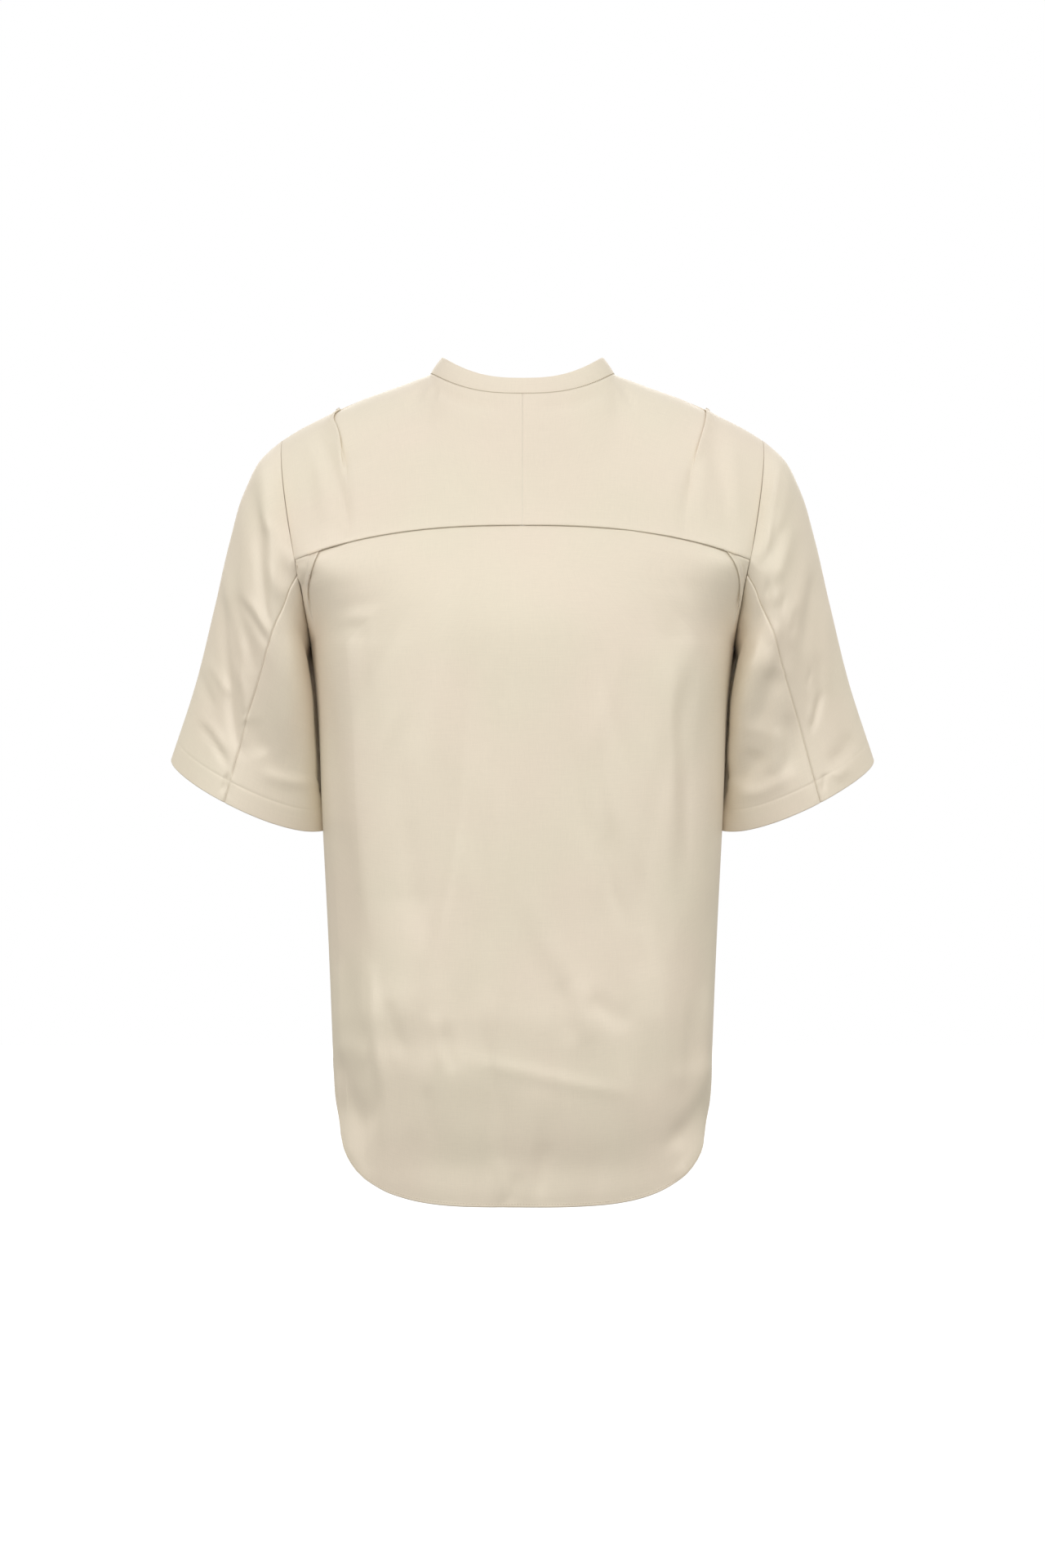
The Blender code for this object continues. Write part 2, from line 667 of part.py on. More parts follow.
def cloth_object(name, panels, wall, hem_rows=0):
    """Makes a piece from one panel, or from two whose points meet at the centre."""
    outer, inner, faces, places = [], [], [], {}
    for grid, out in panels:
        rows, columns, _ = grid.shape
        depth = np.full((rows, 1, 1), wall)
        if hem_rows:
            depth[-hem_rows:] = HEM_WALL
        numbers = []
        for point, behind in zip(grid.reshape(-1, 3), (grid - out * depth).reshape(-1, 3)):
            place = tuple(np.round(point, 2))
            if place not in places:
                places[place] = len(outer)
                outer.append(point * MILLIMETRE)
                inner.append(behind * MILLIMETRE)
            numbers.append(places[place])
        for corner in range((rows - 1) * columns):
            if (corner + 1) % columns:
                quad = (corner, corner + 1, corner + columns + 1, corner + columns)
                faces.append([numbers[k] for k in quad])
    mesh = bpy.data.meshes.new(name)
    mesh.from_pydata(outer + inner, [], faces + walls_behind(faces, len(outer)))
    piece = bpy.data.objects.new(name, mesh)
    bpy.data.collections[OBJECT_NAME].objects.link(piece)
    mesh.materials.append(satin(name + "_satin"))
    return piece


def walls_behind(faces, behind):
    """The inner faces and the rim. behind is how far on an outer point's inner one is numbered."""
    sides = {(face[k - 1], face[k]) for face in faces for k in range(len(face))}
    # An inner face starts at the same corner as its outer one, so that both bend along one diagonal
    inner = [[face[k] + behind for k in (0, 3, 2, 1)] for face in faces]
    rim = [(b, a, a + behind, b + behind) for a, b in sides if (b, a) not in sides]
    return inner + sorted(rim)


def clear_scene():
    for item in list(bpy.data.objects):
        bpy.data.objects.remove(item, do_unlink=True)
    bpy.context.scene.collection.children.link(bpy.data.collections.new(OBJECT_NAME))


def build():
    clear_scene()
    yoke_left, front_left, back = yoke(), front(), back_panel()
    upper, under = sleeve(armhole(front_left, back, yoke_left))
    back.out[: BACK_UPPER_ROWS + 1, 0] = back.out[: BACK_UPPER_ROWS + 1, -1] * LEFT_TO_RIGHT
    for name, panel in (("yoke", yoke_left), ("sleeve_upper", upper), ("sleeve_under", under)):
        hem_rows = 2 if name.startswith("sleeve") else 0
        cloth_object(name + "_left", [panel], WALL, hem_rows)
        cloth_object(name + "_right", [mirrored(panel)], WALL, hem_rows)
    cloth_object("back_panel", [back], WALL, hem_rows=2)
    cloth_object("front_panel", [front_left, mirrored(front_left)], WALL, hem_rows=2)
    cloth_object("neckband", [band()], BAND_WALL)
    cloth_object("tie_left", [tie()], BAND_WALL)
    cloth_object("tie_right", [mirrored(tie())], BAND_WALL)


build()
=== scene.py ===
"""The looks of a tie-neck blouse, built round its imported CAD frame.

+X is the wearer's left, +Y the back and +Z up. The origin lies midway between the two points where the
shoulder seams meet the neckband. Sizes are in millimetres until a mesh is made.

Each sewn piece is a fine grid of points on the same surface as its CAD solid, with its folds and creases laid
on it, and a thin wall inward of that. A crease is a soft ridge or trough along a curve.
"""
import math

import bpy
import numpy as np
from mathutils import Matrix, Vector


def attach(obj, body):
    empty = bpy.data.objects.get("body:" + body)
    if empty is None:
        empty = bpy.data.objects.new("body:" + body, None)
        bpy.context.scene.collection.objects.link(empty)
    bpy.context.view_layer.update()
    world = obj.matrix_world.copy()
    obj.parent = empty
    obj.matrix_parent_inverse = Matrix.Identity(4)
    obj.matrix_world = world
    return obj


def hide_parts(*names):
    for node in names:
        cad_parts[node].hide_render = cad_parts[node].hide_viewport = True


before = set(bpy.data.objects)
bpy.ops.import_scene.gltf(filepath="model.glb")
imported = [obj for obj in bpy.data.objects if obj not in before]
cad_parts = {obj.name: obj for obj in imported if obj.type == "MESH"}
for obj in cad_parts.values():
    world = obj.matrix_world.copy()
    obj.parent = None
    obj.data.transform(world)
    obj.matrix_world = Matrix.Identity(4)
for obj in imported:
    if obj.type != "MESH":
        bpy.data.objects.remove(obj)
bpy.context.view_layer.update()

MILLIMETRE = 0.001
SMALL_STEP = 1e-3  # in columns and rows, to find a surface's slope

# The cloth
WALL = 0.5
SEAM_WALL = 2.2  # along a seam, where the allowance is turned in
SEAM_WALL_REACH = 1.2
SEAM_SINK = 0.4  # how far the cloth sinks to a seam
SEAM_SINK_REACH = 1.0
SLEEVE_SEAM_SINK = 0.8
YOKE_CENTRE_SINK = 0.12
SOFT_SINK = 0.22  # at the shoulders and armholes
SOFT_SINK_REACH = 2.0
CREASE_DEPTH = 1.25  # times the heights in the tables of creases
YOKE_CREASE_DEPTH = 1.5  # in its place on the yoke
SLEEVE_CREASE_DEPTH = 0.95  # a further factor on the sleeves
CREASE_TAPER = 0.3  # the share of a crease over which it rises at each end
CREASE_AT_END = 0.15  # the share of its height that it has there
CREASE_LEAST_POINTS = 6  # in a crease's smooth line
CREASE_POINT_STEP = 6.0
FACING_FROM = 0.3  # creases fade out where the cloth turns to the side
PUCKER = 0.10  # the height of the small waves beside a seam
PUCKER_FROM = 1.5
PUCKER_REACH = 7.0
PUCKER_LENGTH = 7.5
PUCKER_DRIFT = 1.7  # how unevenly they follow each other
PUCKER_DRIFT_LENGTH = 23.0
HEM_WALL = 1.3
CUFF_HEM_WALL = 1.1
BAND_WALL = 1.9
TIE_WALL = 1.6
EDGE_WALL = 0.25  # the least wall where an edge is rounded off
SEAM = 0.12  # between two pieces
YOKE_CENTRE_SEAM = 0.05
CUFF_HEM = 19.0
CUFF_HEM_WAVE = 0.25  # the height of a hem's waves
CUFF_HEM_LINE = 0.16  # how far the cloth sinks where the hem's turning ends
TAIL_HEM = 3.6
TAIL_HEM_WAVE = 0.35
TAIL_HEM_LINE = 0.25
HEM_STEP = 0.8  # over which its wall thins to one layer
HEM_WAVE_LENGTH = 17.0
HEM_WAVE_DRIFT = 1.3
HEM_WAVE_DRIFT_LENGTH = 41.0
HEM_WAVE_REACH = 9.0
NEAR_EDGE = (0.0, 0.45, 0.95, 1.6, 2.6, 4.2)  # the grid's steps beside a seam or a hem

# The neck's ring: its half width, its depth behind and before the shoulders, and its drop at each centre
NECK_HALF_WIDTH = 79.0
NECK_BACK = 65.0
NECK_BACK_DROP = 21.7
NECK_FRONT = 78.0
NECK_FRONT_DROP = 78.0
NECK_BACK_DIP = 2.6  # the powers with which it drops
NECK_FRONT_DIP = 1.5
NECK_SQUARE = 0.92  # 1 is an ellipse, and less is squarer
BAND_RISE = 14.4
BAND_LEAN = 10.0
BAND_HEIGHT = 17.53  # along its face
BAND_NEAR_TOP = (0, 0.15, 0.35, 0.6, 0.95, 1.5, 2.6)
BAND_NEAR_SEAM = (16.3, 17.05, BAND_HEIGHT)
BAND_BULGE = 0.45
BAND_BULGE_REACH = 17.5
BAND_SINK = 0.35
BAND_SINK_REACH = 1.1
SLIT_HALF_WIDTH = 5.0
SLIT_SHARE = 0.72  # of the way from the neck to the underarm
CLOSED_WITHIN = 0.05  # the fronts are one where they come this close to the centre

# The torso: height, half width, depth behind, depth before
UNDERARM_HEIGHT = -232.0
ROUNDNESS = 0.83  # 1 is an ellipse, and less is squarer
TORSO = np.array([
    (-720, 158.5, 108, 129),
    (-582, 162.4, 107, 131),
    (-491, 166.0, 108, 134),
    (-390, 171.0, 111, 138),
    (-281, 176.5, 114, 141),
    (-232, 181.0, 115, 137),
    (-150, 190.0, 113, 122),
], float)
SIDE_HEM_HEIGHT = -584.0
TAIL_DROP_BACK = 122.0
TAIL_DROP_FRONT = 96.0
TAIL_ROUNDNESS = 3.7  # 2 is an ellipse, and more is squarer

# The back hangs fuller on each side, below the pleats, and its tail leans in below the seat
BLADE_FULLNESS = 8.0
BLADE_OUT = 150.0
BLADE_HALF_WIDTH = 30.0
BLADE_HEIGHT = -225.0
BLADE_REACH_UP = 42.0
BLADE_REACH_DOWN = 85.0
BLADE_FROM_EDGE = 24.0
TAIL_LEAN = 18.0
TAIL_LEANS_FROM = -545.0
TAIL_LEAN_REACH = 165.0
TAIL_LEAN_BEND = 1.4  # the power with which it grows
TAIL_LEANS_TO = 158.0  # how far out the lean fades
TAIL_LEAN_FADE = 60.0
TAIL_LEAN_AT_SIDE = 0.4  # the share of the lean that is left there

# The shoulder seam: out, height
SHOULDER = np.array([
    (79.0, 0.0), (104.0, -9.4), (143.5, -24.0), (172.0, -37.4), (190.0, -46.6), (206.0, -56.5),
])

# The yoke
YOKE_HEIGHT = -135.3  # its seam at centre back
YOKE_DROP = 27.0  # how much lower the seam ends, at the armhole
YOKE_BEND = 2.5  # the power with which it falls
YOKE_HALF_WIDTH = 192.0
YOKE_BACK = 106.0
YOKE_SIDE_BACK = 70.0
YOKE_TURN = 0.93  # how far the seam runs round to the side
YOKE_LIFT = 0.5  # the seam allowance under the yoke's edge raises it
YOKE_LIFT_REACH = 9.0
YOKE_CREASES_FROM = 6.0

# The corner where the neck meets the shoulder: its column, and where a line from it ends below
CORNER = 0.42
CORNER_OUT = 0.41
FRONT_CORNER_ANGLE = 30.0  # in degrees round from centre front
# How the break below it is smoothed away
CORNER_PASSES = 10
CORNER_EASING = 0.5
CORNER_FROM_TOP = 10.0
CORNER_REACH = 18.0

# Which way the cloth leaves a panel's upper edge and arrives at its lower one
YOKE_LEAVES_NECK = np.array((0, 55, -94))
YOKE_LEAVES_CORNER = np.array((8, 128, -22))
YOKE_LEAVES_ARMHOLE = np.array((6, 108, -40))
YOKE_ARRIVES_CENTRE = np.array((0, 14, -112))
YOKE_ARRIVES_ARMHOLE = np.array((-22, 12, -112))
BACK_LEAVES_CENTRE = np.array((0, 11, -90))
BACK_LEAVES_ARMHOLE = np.array((-20, -14, -82))
BACK_ARRIVES_CENTRE = np.array((0, -1, -95))
BACK_ARRIVES_UNDERARM = np.array((-2, -95, -30))
FRONT_LEAVES_NECK = np.array((0, -70, -120))
FRONT_LEAVES_CORNER = np.array((10, -190, -40))
FRONT_LEAVES_ARMHOLE = np.array((4, -225, -110))
FRONT_ARRIVES_CENTRE = np.array((0, -25, -215))
FRONT_ARRIVES_UNDERARM = np.array((-8, 235, -70))
SIDE_FROM = 0.62  # the column from which the side's ways take over

# A knife pleat's section: radii of the visible fold and of the hidden one
EDGE_RADIUS = 0.66
HIDDEN_RADIUS = 0.2
PLEAT_SLACK = 0.3  # how much longer its runs are than it is deep
PLEAT_ON_TOP = 0.7  # the share of a pleat's height that stands above the cloth round it
PLEAT_STANDS_FROM = 0.09  # it is sewn flat at the seam and stands from this row on
PLEAT_AT_SEAM = 0.35  # the share that it stands at the seam
# How the cloth comes to the surface on a pleat's two sides: way from the pleat and share of its height
PLEAT_BEYOND = np.array([(9.0, 0.1), (5.5, 0.35), (3.2, 0.68), (1.6, 0.92)])
PLEAT_BEHIND = np.array([(2.5, 0.96), (6.5, 0.86), (14.0, 0.6), (24.0, 0.3), (36.0, 0.09), (48.0, 0.0)])
PLEAT_BEHIND_AT_SEAM = 0.15  # the share of that way at the seam
EDGE_STEPS = 9
HIDDEN_STEPS = 5
RUN_STEPS = 3
# How a fold runs down its panel: row, column of its edge, depth, turn
BACK_PLEAT_LEFT = np.array([
    (0.00, 0.672, 9.0, 1.0),
    (0.08, 0.700, 8.0, 1.0),
    (0.15, 0.727, 6.5, 1.0),
    (0.23, 0.760, 4.5, 1.0),
    (0.31, 0.795, 2.5, 1.0),
    (0.40, 0.825, 0.8, 0.9),
    (0.50, 0.845, 0.0, 0.55),
    (0.70, 0.850, 0.0, 0.12),
    (0.90, 0.845, 0.0, 0.0),
    (2.00, 0.800, 0.0, 0.0),
])
BACK_PLEAT_RIGHT = np.array([
    (0.00, 0.677, 9.0, 1.0),
    (0.05, 0.713, 8.0, 1.0),
    (0.14, 0.766, 6.5, 1.0),
    (0.25, 0.820, 4.0, 1.0),
    (0.34, 0.852, 2.0, 1.0),
    (0.44, 0.870, 0.4, 0.8),
    (0.56, 0.875, 0.0, 0.45),
    (0.74, 0.870, 0.0, 0.1),
    (0.92, 0.865, 0.0, 0.0),
    (2.00, 0.820, 0.0, 0.0),
])
TUCK_LEFT = np.array([
    (0.00, 0.770, 1.6, 1.0),
    (0.10, 0.788, 1.6, 1.0),
    (0.155, 0.790, 1.5, 1.0),
    (0.225, 0.780, 1.2, 1.0),
    (0.32, 0.768, 0.7, 1.0),
    (0.44, 0.764, 0.0, 0.6),
    (0.60, 0.760, 0.0, 0.12),
    (0.75, 0.762, 0.0, 0.0),
    (1.00, 0.765, 0.0, 0.0),
])
TUCK_RIGHT = np.array([
    (0.00, 0.772, 1.6, 1.0),
    (0.18, 0.768, 1.5, 1.0),
    (0.27, 0.760, 1.2, 1.0),
    (0.34, 0.752, 0.8, 1.0),
    (0.46, 0.738, 0.0, 0.65),
    (0.60, 0.730, 0.0, 0.15),
    (0.75, 0.730, 0.0, 0.0),
    (1.00, 0.735, 0.0, 0.0),
])
TUCK_SIZE = 1.2  # times the section's radii
TUCK_LIFT = 1.2  # how far the cloth rises round a tuck
TUCK_SPREAD = 9.0

# The sleeve's rings: outer x, outer z, inner x, inner z, centre y, half depth, drop
SLEEVE = np.array([
    (222.5, -71.4, 183.8, -243, 2, 67, 0),
    (238.0, -99.4, 182.8, -254, -1, 66, 3),
    (250.9, -141.4, 181.2, -275, -5, 65, 6),
    (264.0, -197.4, 178.8, -303, -12, 62, 12),
    (281.2, -267.4, 176.4, -343, -22, 57, 18),
    (302.6, -334.6, 174.6, -383, -28.5, 55.5, 23),
])
SLEEVE_ROUNDNESS = 1.05
# How far above the cuff's edge the last rows lie
CUFF_ROWS = (24, 22, 20.8, 19.9, 19.3, 18.7, 18.1, 17.2, 15.5, 13, 10.5, 8, 6, 4.2, 2.6, 1.6, 0.95, 0.45, 0)
RING_LEAN = 0.75  # how far a ring leans in for its drop
SEAM_AT_CUFF = 60.0  # where the back seam ends, in degrees round the cuff from its outer side
SLEEVE_SEAM_SHARE = 0.15  # of the back panel's armhole edge, between the yoke's end and the sleeve's seam
SLEEVE_CLEAR = 1.2  # between the sleeve's inner side and the body
SLEEVE_CLEAR_AHEAD = 1.6  # as much more further forward
SLEEVE_CLEAR_BEHIND = 7.0  # and as much more behind, between the armhole and the cuff
# Where each of these starts and over how much it grows: in y, as minus y ahead of the shoulders, or in the
# share of the way down the sleeve, as minus that share upward from the cuff
CLEAR_FROM_ARMHOLE = (0, 0.06)
AHEAD_OF_SIDE = (20, 30)
BEHIND_SIDE = (-14, 22)
BEHIND_FROM_ARMHOLE = (0, 0.4)
BEHIND_FROM_CUFF = (-0.98, 0.35)
# Where the sleeve is drawn in beside the body, in the same way: round its ring, ahead and down
DRAWN_IN_ROUND = (0.15, 0.55)
DRAWN_IN_AHEAD = (-16, 32)
DRAWN_IN_DOWN = (0, 0.2)

# The ties
TIE_WIDTH = 16.0
TIE_INSET = 2.0  # from the slit's edge
TIE_SPREAD = 16.0  # how much further out its end lies
TIE_BAND_TOP = 0.8  # the share of the band's rise from which it hangs
TIE_END = 1.3077  # the front's row at which the ties end
TIE_SAMPLES = 80  # across the front, to find the tie's places
TIE_WAVES = 4
TIE_WAVE_HEIGHTS = (0.1, 0.35)
TIE_WAVE_LENGTHS = (14, 45)
TIE_WAVE_SLANT = 9
TIE_WAVES_FROM = 25.0
TIES_REACH = 56.0  # the front has no creases this far out, under the ties
TIES_REACH_FADE = 14.0
TIES_DROP = 385.0  # and this far down
TIES_DROP_FADE = 20.0

# The stitches: pitch, length and radius
BAND_STITCHES = (2.0, 1.25, 0.26)
YOKE_STITCHES = (1.86, 1.2, 0.24)
HEM_STITCHES = (2.4, 1.7, 0.16)
STITCHED_HALF_WIDTH = 170.0  # of the yoke's seam
# The rows of the panels that they run along, counted from the lower edge
BAND_STITCH_ROW = -2
YOKE_STITCH_ROW = -2
HEM_STITCH_ROW = -5
# Rings along a stitch: place in lengths, and size in radii
STITCH_RINGS = ((-0.5, 0.05), (-0.42, 0.75), (-0.2, 1.0), (0.2, 1.0), (0.42, 0.75), (0.5, 0.05))
STITCH_SIDES = 6
STITCH_PROUD = 0.25  # how far its middle lies above the cloth, in radii
STITCH_AHEAD = 0.3  # how far along its line a stitch looks for its direction

# The photograph is taken from this far behind, at this height, and shows this much from top to bottom
VIEW_DISTANCE = 4000.0
VIEW_HEIGHT = -351.0
VIEW_EXTENT = 1344.0
SENSOR = 36.0
FLOOR_HEIGHT = -1.08  # in metres
FLOOR_HALF_WIDTH = 9

# Creases: width, height (a trough's is below 0), then the points (x, z) that each runs
# through, as the camera sees them from behind or, for the front, as it would from as far before
BACK_CREASES = [
    (6.0, 0.6, (45, -589), (0, -598), (-42, -608), (-94, -617)),
    (15.0, 0.3, (100, -583), (60, -589), (10, -595)),
    (24.0, 0.9, (110, -596), (0, -608), (-130, -626)),
    (20.0, -1.5, (130, -668), (70, -677), (0, -679), (-84, -679), (-130, -668)),
    (9.0, 0.9, (-12, -612), (-6, -655), (0, -711)),
    (34.0, 1.6, (95, -450), (98, -554), (94, -659)),
    (26.0, 1.0, (-112, -505), (-114, -589), (-112, -659)),
    (4.2, -1.2, (3, -687), (8, -701), (11, -713)),
    (4.9, 0.9, (20, -673), (17, -694), (15, -711)),
    (7.0, -1.0, (-20, -659), (-15, -687), (-13, -708)),
    (8.0, -1.3, (172, -201), (166, -281), (160, -344), (154, -439), (150, -505)),
    (9.4, 0.7, (158, -201), (152, -281), (146, -344), (138, -439), (134, -505)),
    (15.0, -3.8, (158, -380), (156, -500), (155, -570), (150, -650)),
    (4.9, 1.6, (160, -505), (160, -547), (159, -587)),
    (12.0, 1.2, (162, -574), (147, -580), (130, -586)),
    (17.0, -2.0, (168, -624), (146, -634), (124, -642)),
    (7.0, -1.2, (160, -589), (151, -621), (139, -659)),
    (6.3, 1.4, (130, -505), (125, -561), (119, -617)),
    (6.3, 1.2, (151, -656), (143, -679), (132, -696)),
    (6.0, -0.7, (116, -536), (110, -560), (102, -582)),
    (4.9, -0.8, (66, -559), (64, -579), (59, -598)),
    (5.6, 0.7, (76, -547), (72, -575), (69, -596)),
    (5.6, -0.7, (82, -610), (80, -637), (77, -659)),
    (7.0, -0.9, (-32, -519), (-38, -547), (-42, -575)),
    (7.0, 0.6, (-46, -519), (-52, -547), (-57, -575)),
    (9.8, -0.8, (-56, -535), (-74, -547), (-94, -557)),
    (7.0, -1.6, (-148, -540), (-146, -580), (-142, -616)),
    (5.6, 2.0, (-155, -533), (-155, -582), (-153, -621)),
    (10.0, 1.0, (-164, -592), (-146, -600), (-128, -606)),
    (13.0, -1.6, (-166, -628), (-148, -646), (-128, -658)),
    (8.0, -1.2, (-160, -614), (-147, -637), (-123, -665)),
    (6.3, 1.4, (-155, -654), (-146, -676), (-130, -692)),
    (6.3, -1.0, (-141, -258), (-139, -327), (-143, -397), (-147, -449)),
    (6.3, 0.9, (-130, -239), (-127, -327), (-132, -407)),
    (6.3, 0.9, (-155, -239), (-154, -327), (-155, -449)),
    (4.9, -0.8, (-160, -449), (-157, -505), (-151, -547)),
    (5.6, 0.7, (165, -169), (168, -225), (165, -281)),
    (8.4, -0.5, (28, -211), (35, -267), (34, -351)),
    (9.8, 0.5, (56, -169), (64, -253), (62, -351)),
    (9.8, -0.5, (-42, -295), (-50, -365), (-70, -421)),
    (8.4, 0.5, (-62, -281), (-71, -351), (-90, -407)),
    (8.4, -0.6, (98, -379), (94, -435), (84, -491)),
    (9.8, 0.5, (0, -435), (-17, -484), (-42, -519)),
    (7.0, -0.5, (-98, -421), (-105, -470), (-102, -519)),
    (3.5, -0.6, (166, -147), (165, -162), (167, -190)),
    (3.5, -0.6, (-181, -169), (-186, -197), (-188, -232)),
    (3.5, -0.9, (180, -169), (188, -181), (190, -197)),
    (4.2, 0.7, (188, -162), (192, -172), (192, -181)),
    (2.8, -0.6, (-188, -162), (-190, -175), (-192, -190)),
]
YOKE_LEFT_CREASES = [
    (2.8, -0.9, (154, -64), (153, -76), (153, -88)),
    (4.9, -1.3, (176, -49), (167, -69), (160, -88), (154, -109), (148, -139)),
    (5.6, 0.9, (185, -57), (176, -82), (169, -113), (165, -141)),
    (6.3, 0.8, (146, -71), (144, -99), (137, -134)),
    (3.5, -0.4, (179, -71), (182, -99), (179, -127)),
    (3.0, -0.9, (83, -5), (90, -18), (96, -30)),
    (2.6, 0.5, (78, -7), (84, -22)),
    (2.4, -0.5, (73, -10), (77, -22)),
    (6.3, -0.9, (73, -14), (49, -24), (10, -29)),
    (1.1, -0.35, (8, -97), (9, -113), (8, -129)),
    (0.8, -0.15, (2, -99), (2, -129)),
    (9.8, -0.5, (112, -71), (108, -99), (111, -127)),
]
YOKE_RIGHT_CREASES = [
    (3.5, -1.1, (-152, -66), (-147, -83), (-141, -104), (-136, -138)),
    (5.6, 0.8, (-158, -71), (-154, -99), (-151, -134)),
    (6.3, -1.1, (-166, -54), (-168, -80), (-174, -104), (-176, -127)),
    (7.0, 0.9, (-179, -61), (-182, -92), (-182, -127)),
    (5.6, 0.6, (-139, -71), (-132, -106), (-127, -134)),
    (3.0, -0.9, (-83, -5), (-90, -18), (-96, -30)),
    (2.6, 0.5, (-78, -7), (-84, -22)),
    (6.3, -0.8, (-72, -14), (-49, -24), (-10, -29)),
    (1.1, -0.35, (-7, -102), (-7, -115), (-7, -129)),
    (9.8, -0.5, (-112, -78), (-106, -106), (-109, -127)),
    (8.4, 0.4, (-42, -99), (-35, -113), (-38, -129)),
]
SLEEVE_LEFT_CREASES = [
    (18.0, 5.6, (190, -222), (183, -300), (176, -420)),
    (4.9, -2.0, (231, -92), (227, -133), (224, -174), (220, -206), (214, -223)),
    (5.6, 1.8, (223, -99), (218, -139), (215, -162), (208, -194)),
    (6.3, 1.2, (239, -99), (238, -141), (239, -183), (234, -218)),
    (9.0, -2.0, (216, -128), (210, -158), (198, -182)),
    (2.5, -0.6, (205, -133), (202, -139), (199, -146)),
    (4.9, 1.8, (254, -166), (250, -197), (243, -220), (239, -239), (238, -260)),
    (4.2, -1.8, (260, -183), (257, -214), (255, -239), (251, -271), (249, -295), (246, -313), (241, -325)),
    (4.2, 1.4, (244, -248), (238, -274), (237, -299), (238, -320)),
    (3.5, -0.9, (243, -191), (232, -209), (223, -224), (216, -234)),
    (3.5, 0.8, (237, -189), (225, -209), (217, -223)),
    (6.3, -1.4, (250, -190), (244, -211), (235, -239), (231, -258)),
    (3.5, 0.9, (270, -245), (259, -262), (251, -276)),
    (4.2, -1.2, (280, -253), (272, -271), (265, -288)),
    (3.2, -1.0, (277, -300), (262, -319), (253, -336)),
    (4.2, 0.8, (279, -290), (267, -302), (255, -323)),
    (2.1, -0.8, (253, -342), (255, -350), (258, -358)),
    (2.1, 0.5, (249, -343), (251, -353)),
    (1.3, -0.35, (235, -287), (239, -294)),
    (1.3, -0.35, (237, -297), (240, -304)),
    (1.3, 0.3, (236, -292), (239, -300)),
    (5.6, 1.0, (265, -127), (270, -169), (276, -211)),
    (9.1, -1.0, (234, -295), (230, -311), (223, -327)),
    (8.0, 0.9, (208, -239), (205, -281), (206, -330)),
    (5.6, -0.6, (197, -239), (193, -281), (193, -330)),
    (4.9, -0.6, (188, -232), (185, -274), (181, -330)),
    (4.2, 0.9, (180, -267), (177, -309), (176, -351)),
    (5.6, 0.9, (223, -341), (203, -348), (182, -350)),
]
SLEEVE_RIGHT_CREASES = [
    (18.0, 5.0, (-190, -222), (-183, -300), (-176, -420)),
    (2.1, 0.9, (-218, -71), (-218, -89), (-213, -110), (-207, -125)),
    (4.2, -1.6, (-225, -78), (-223, -99), (-218, -122), (-214, -141)),
    (5.6, -1.6, (-223, -127), (-214, -150), (-204, -168)),
    (5.6, 1.2, (-232, -127), (-225, -155), (-217, -178)),
    (6.3, 1.4, (-244, -148), (-239, -185), (-231, -220), (-234, -239)),
    (4.9, -1.1, (-251, -169), (-245, -208), (-242, -239)),
    (1.8, -0.7, (-211, -178), (-209, -190)),
    (2.1, -0.6, (-225, -189), (-222, -204)),
    (2.8, 0.6, (-218, -185), (-216, -197)),
    (2.8, -0.7, (-234, -201), (-230, -224)),
    (5.6, 1.0, (-260, -197), (-260, -239), (-263, -274)),
    (4.9, -0.9, (-254, -239), (-255, -267), (-251, -295)),
    (2.8, -0.9, (-258, -271), (-253, -288), (-248, -306)),
    (2.8, 0.7, (-252, -269), (-248, -287), (-246, -299)),
    (2.1, -0.6, (-248, -252), (-244, -269)),
    (7.0, -1.3, (-283, -309), (-273, -327), (-263, -334)),
    (6.3, 0.9, (-280, -334), (-266, -346)),
    (2.1, -0.6, (-259, -342), (-258, -357)),
    (10.5, -2.4, (-221, -253), (-208, -280), (-199, -304)),
    (9.8, 1.8, (-209, -232), (-195, -274), (-186, -309)),
    (6.3, -1.6, (-228, -290), (-231, -317), (-228, -344)),
    (6.3, 1.2, (-217, -302), (-217, -327), (-214, -344)),
    (7.7, -1.8, (-203, -322), (-193, -339), (-185, -351)),
    (5.6, 1.2, (-190, -302), (-182, -330), (-181, -351)),
    (6.3, 1.0, (-186, -360), (-206, -357), (-227, -344)),
    (4.2, -1.0, (-180, -330), (-178, -358), (-179, -383)),
    (6.3, -1.4, (-206, -194), (-200, -218), (-190, -246)),
    (5.6, 1.3, (-218, -211), (-213, -239), (-210, -260)),
]
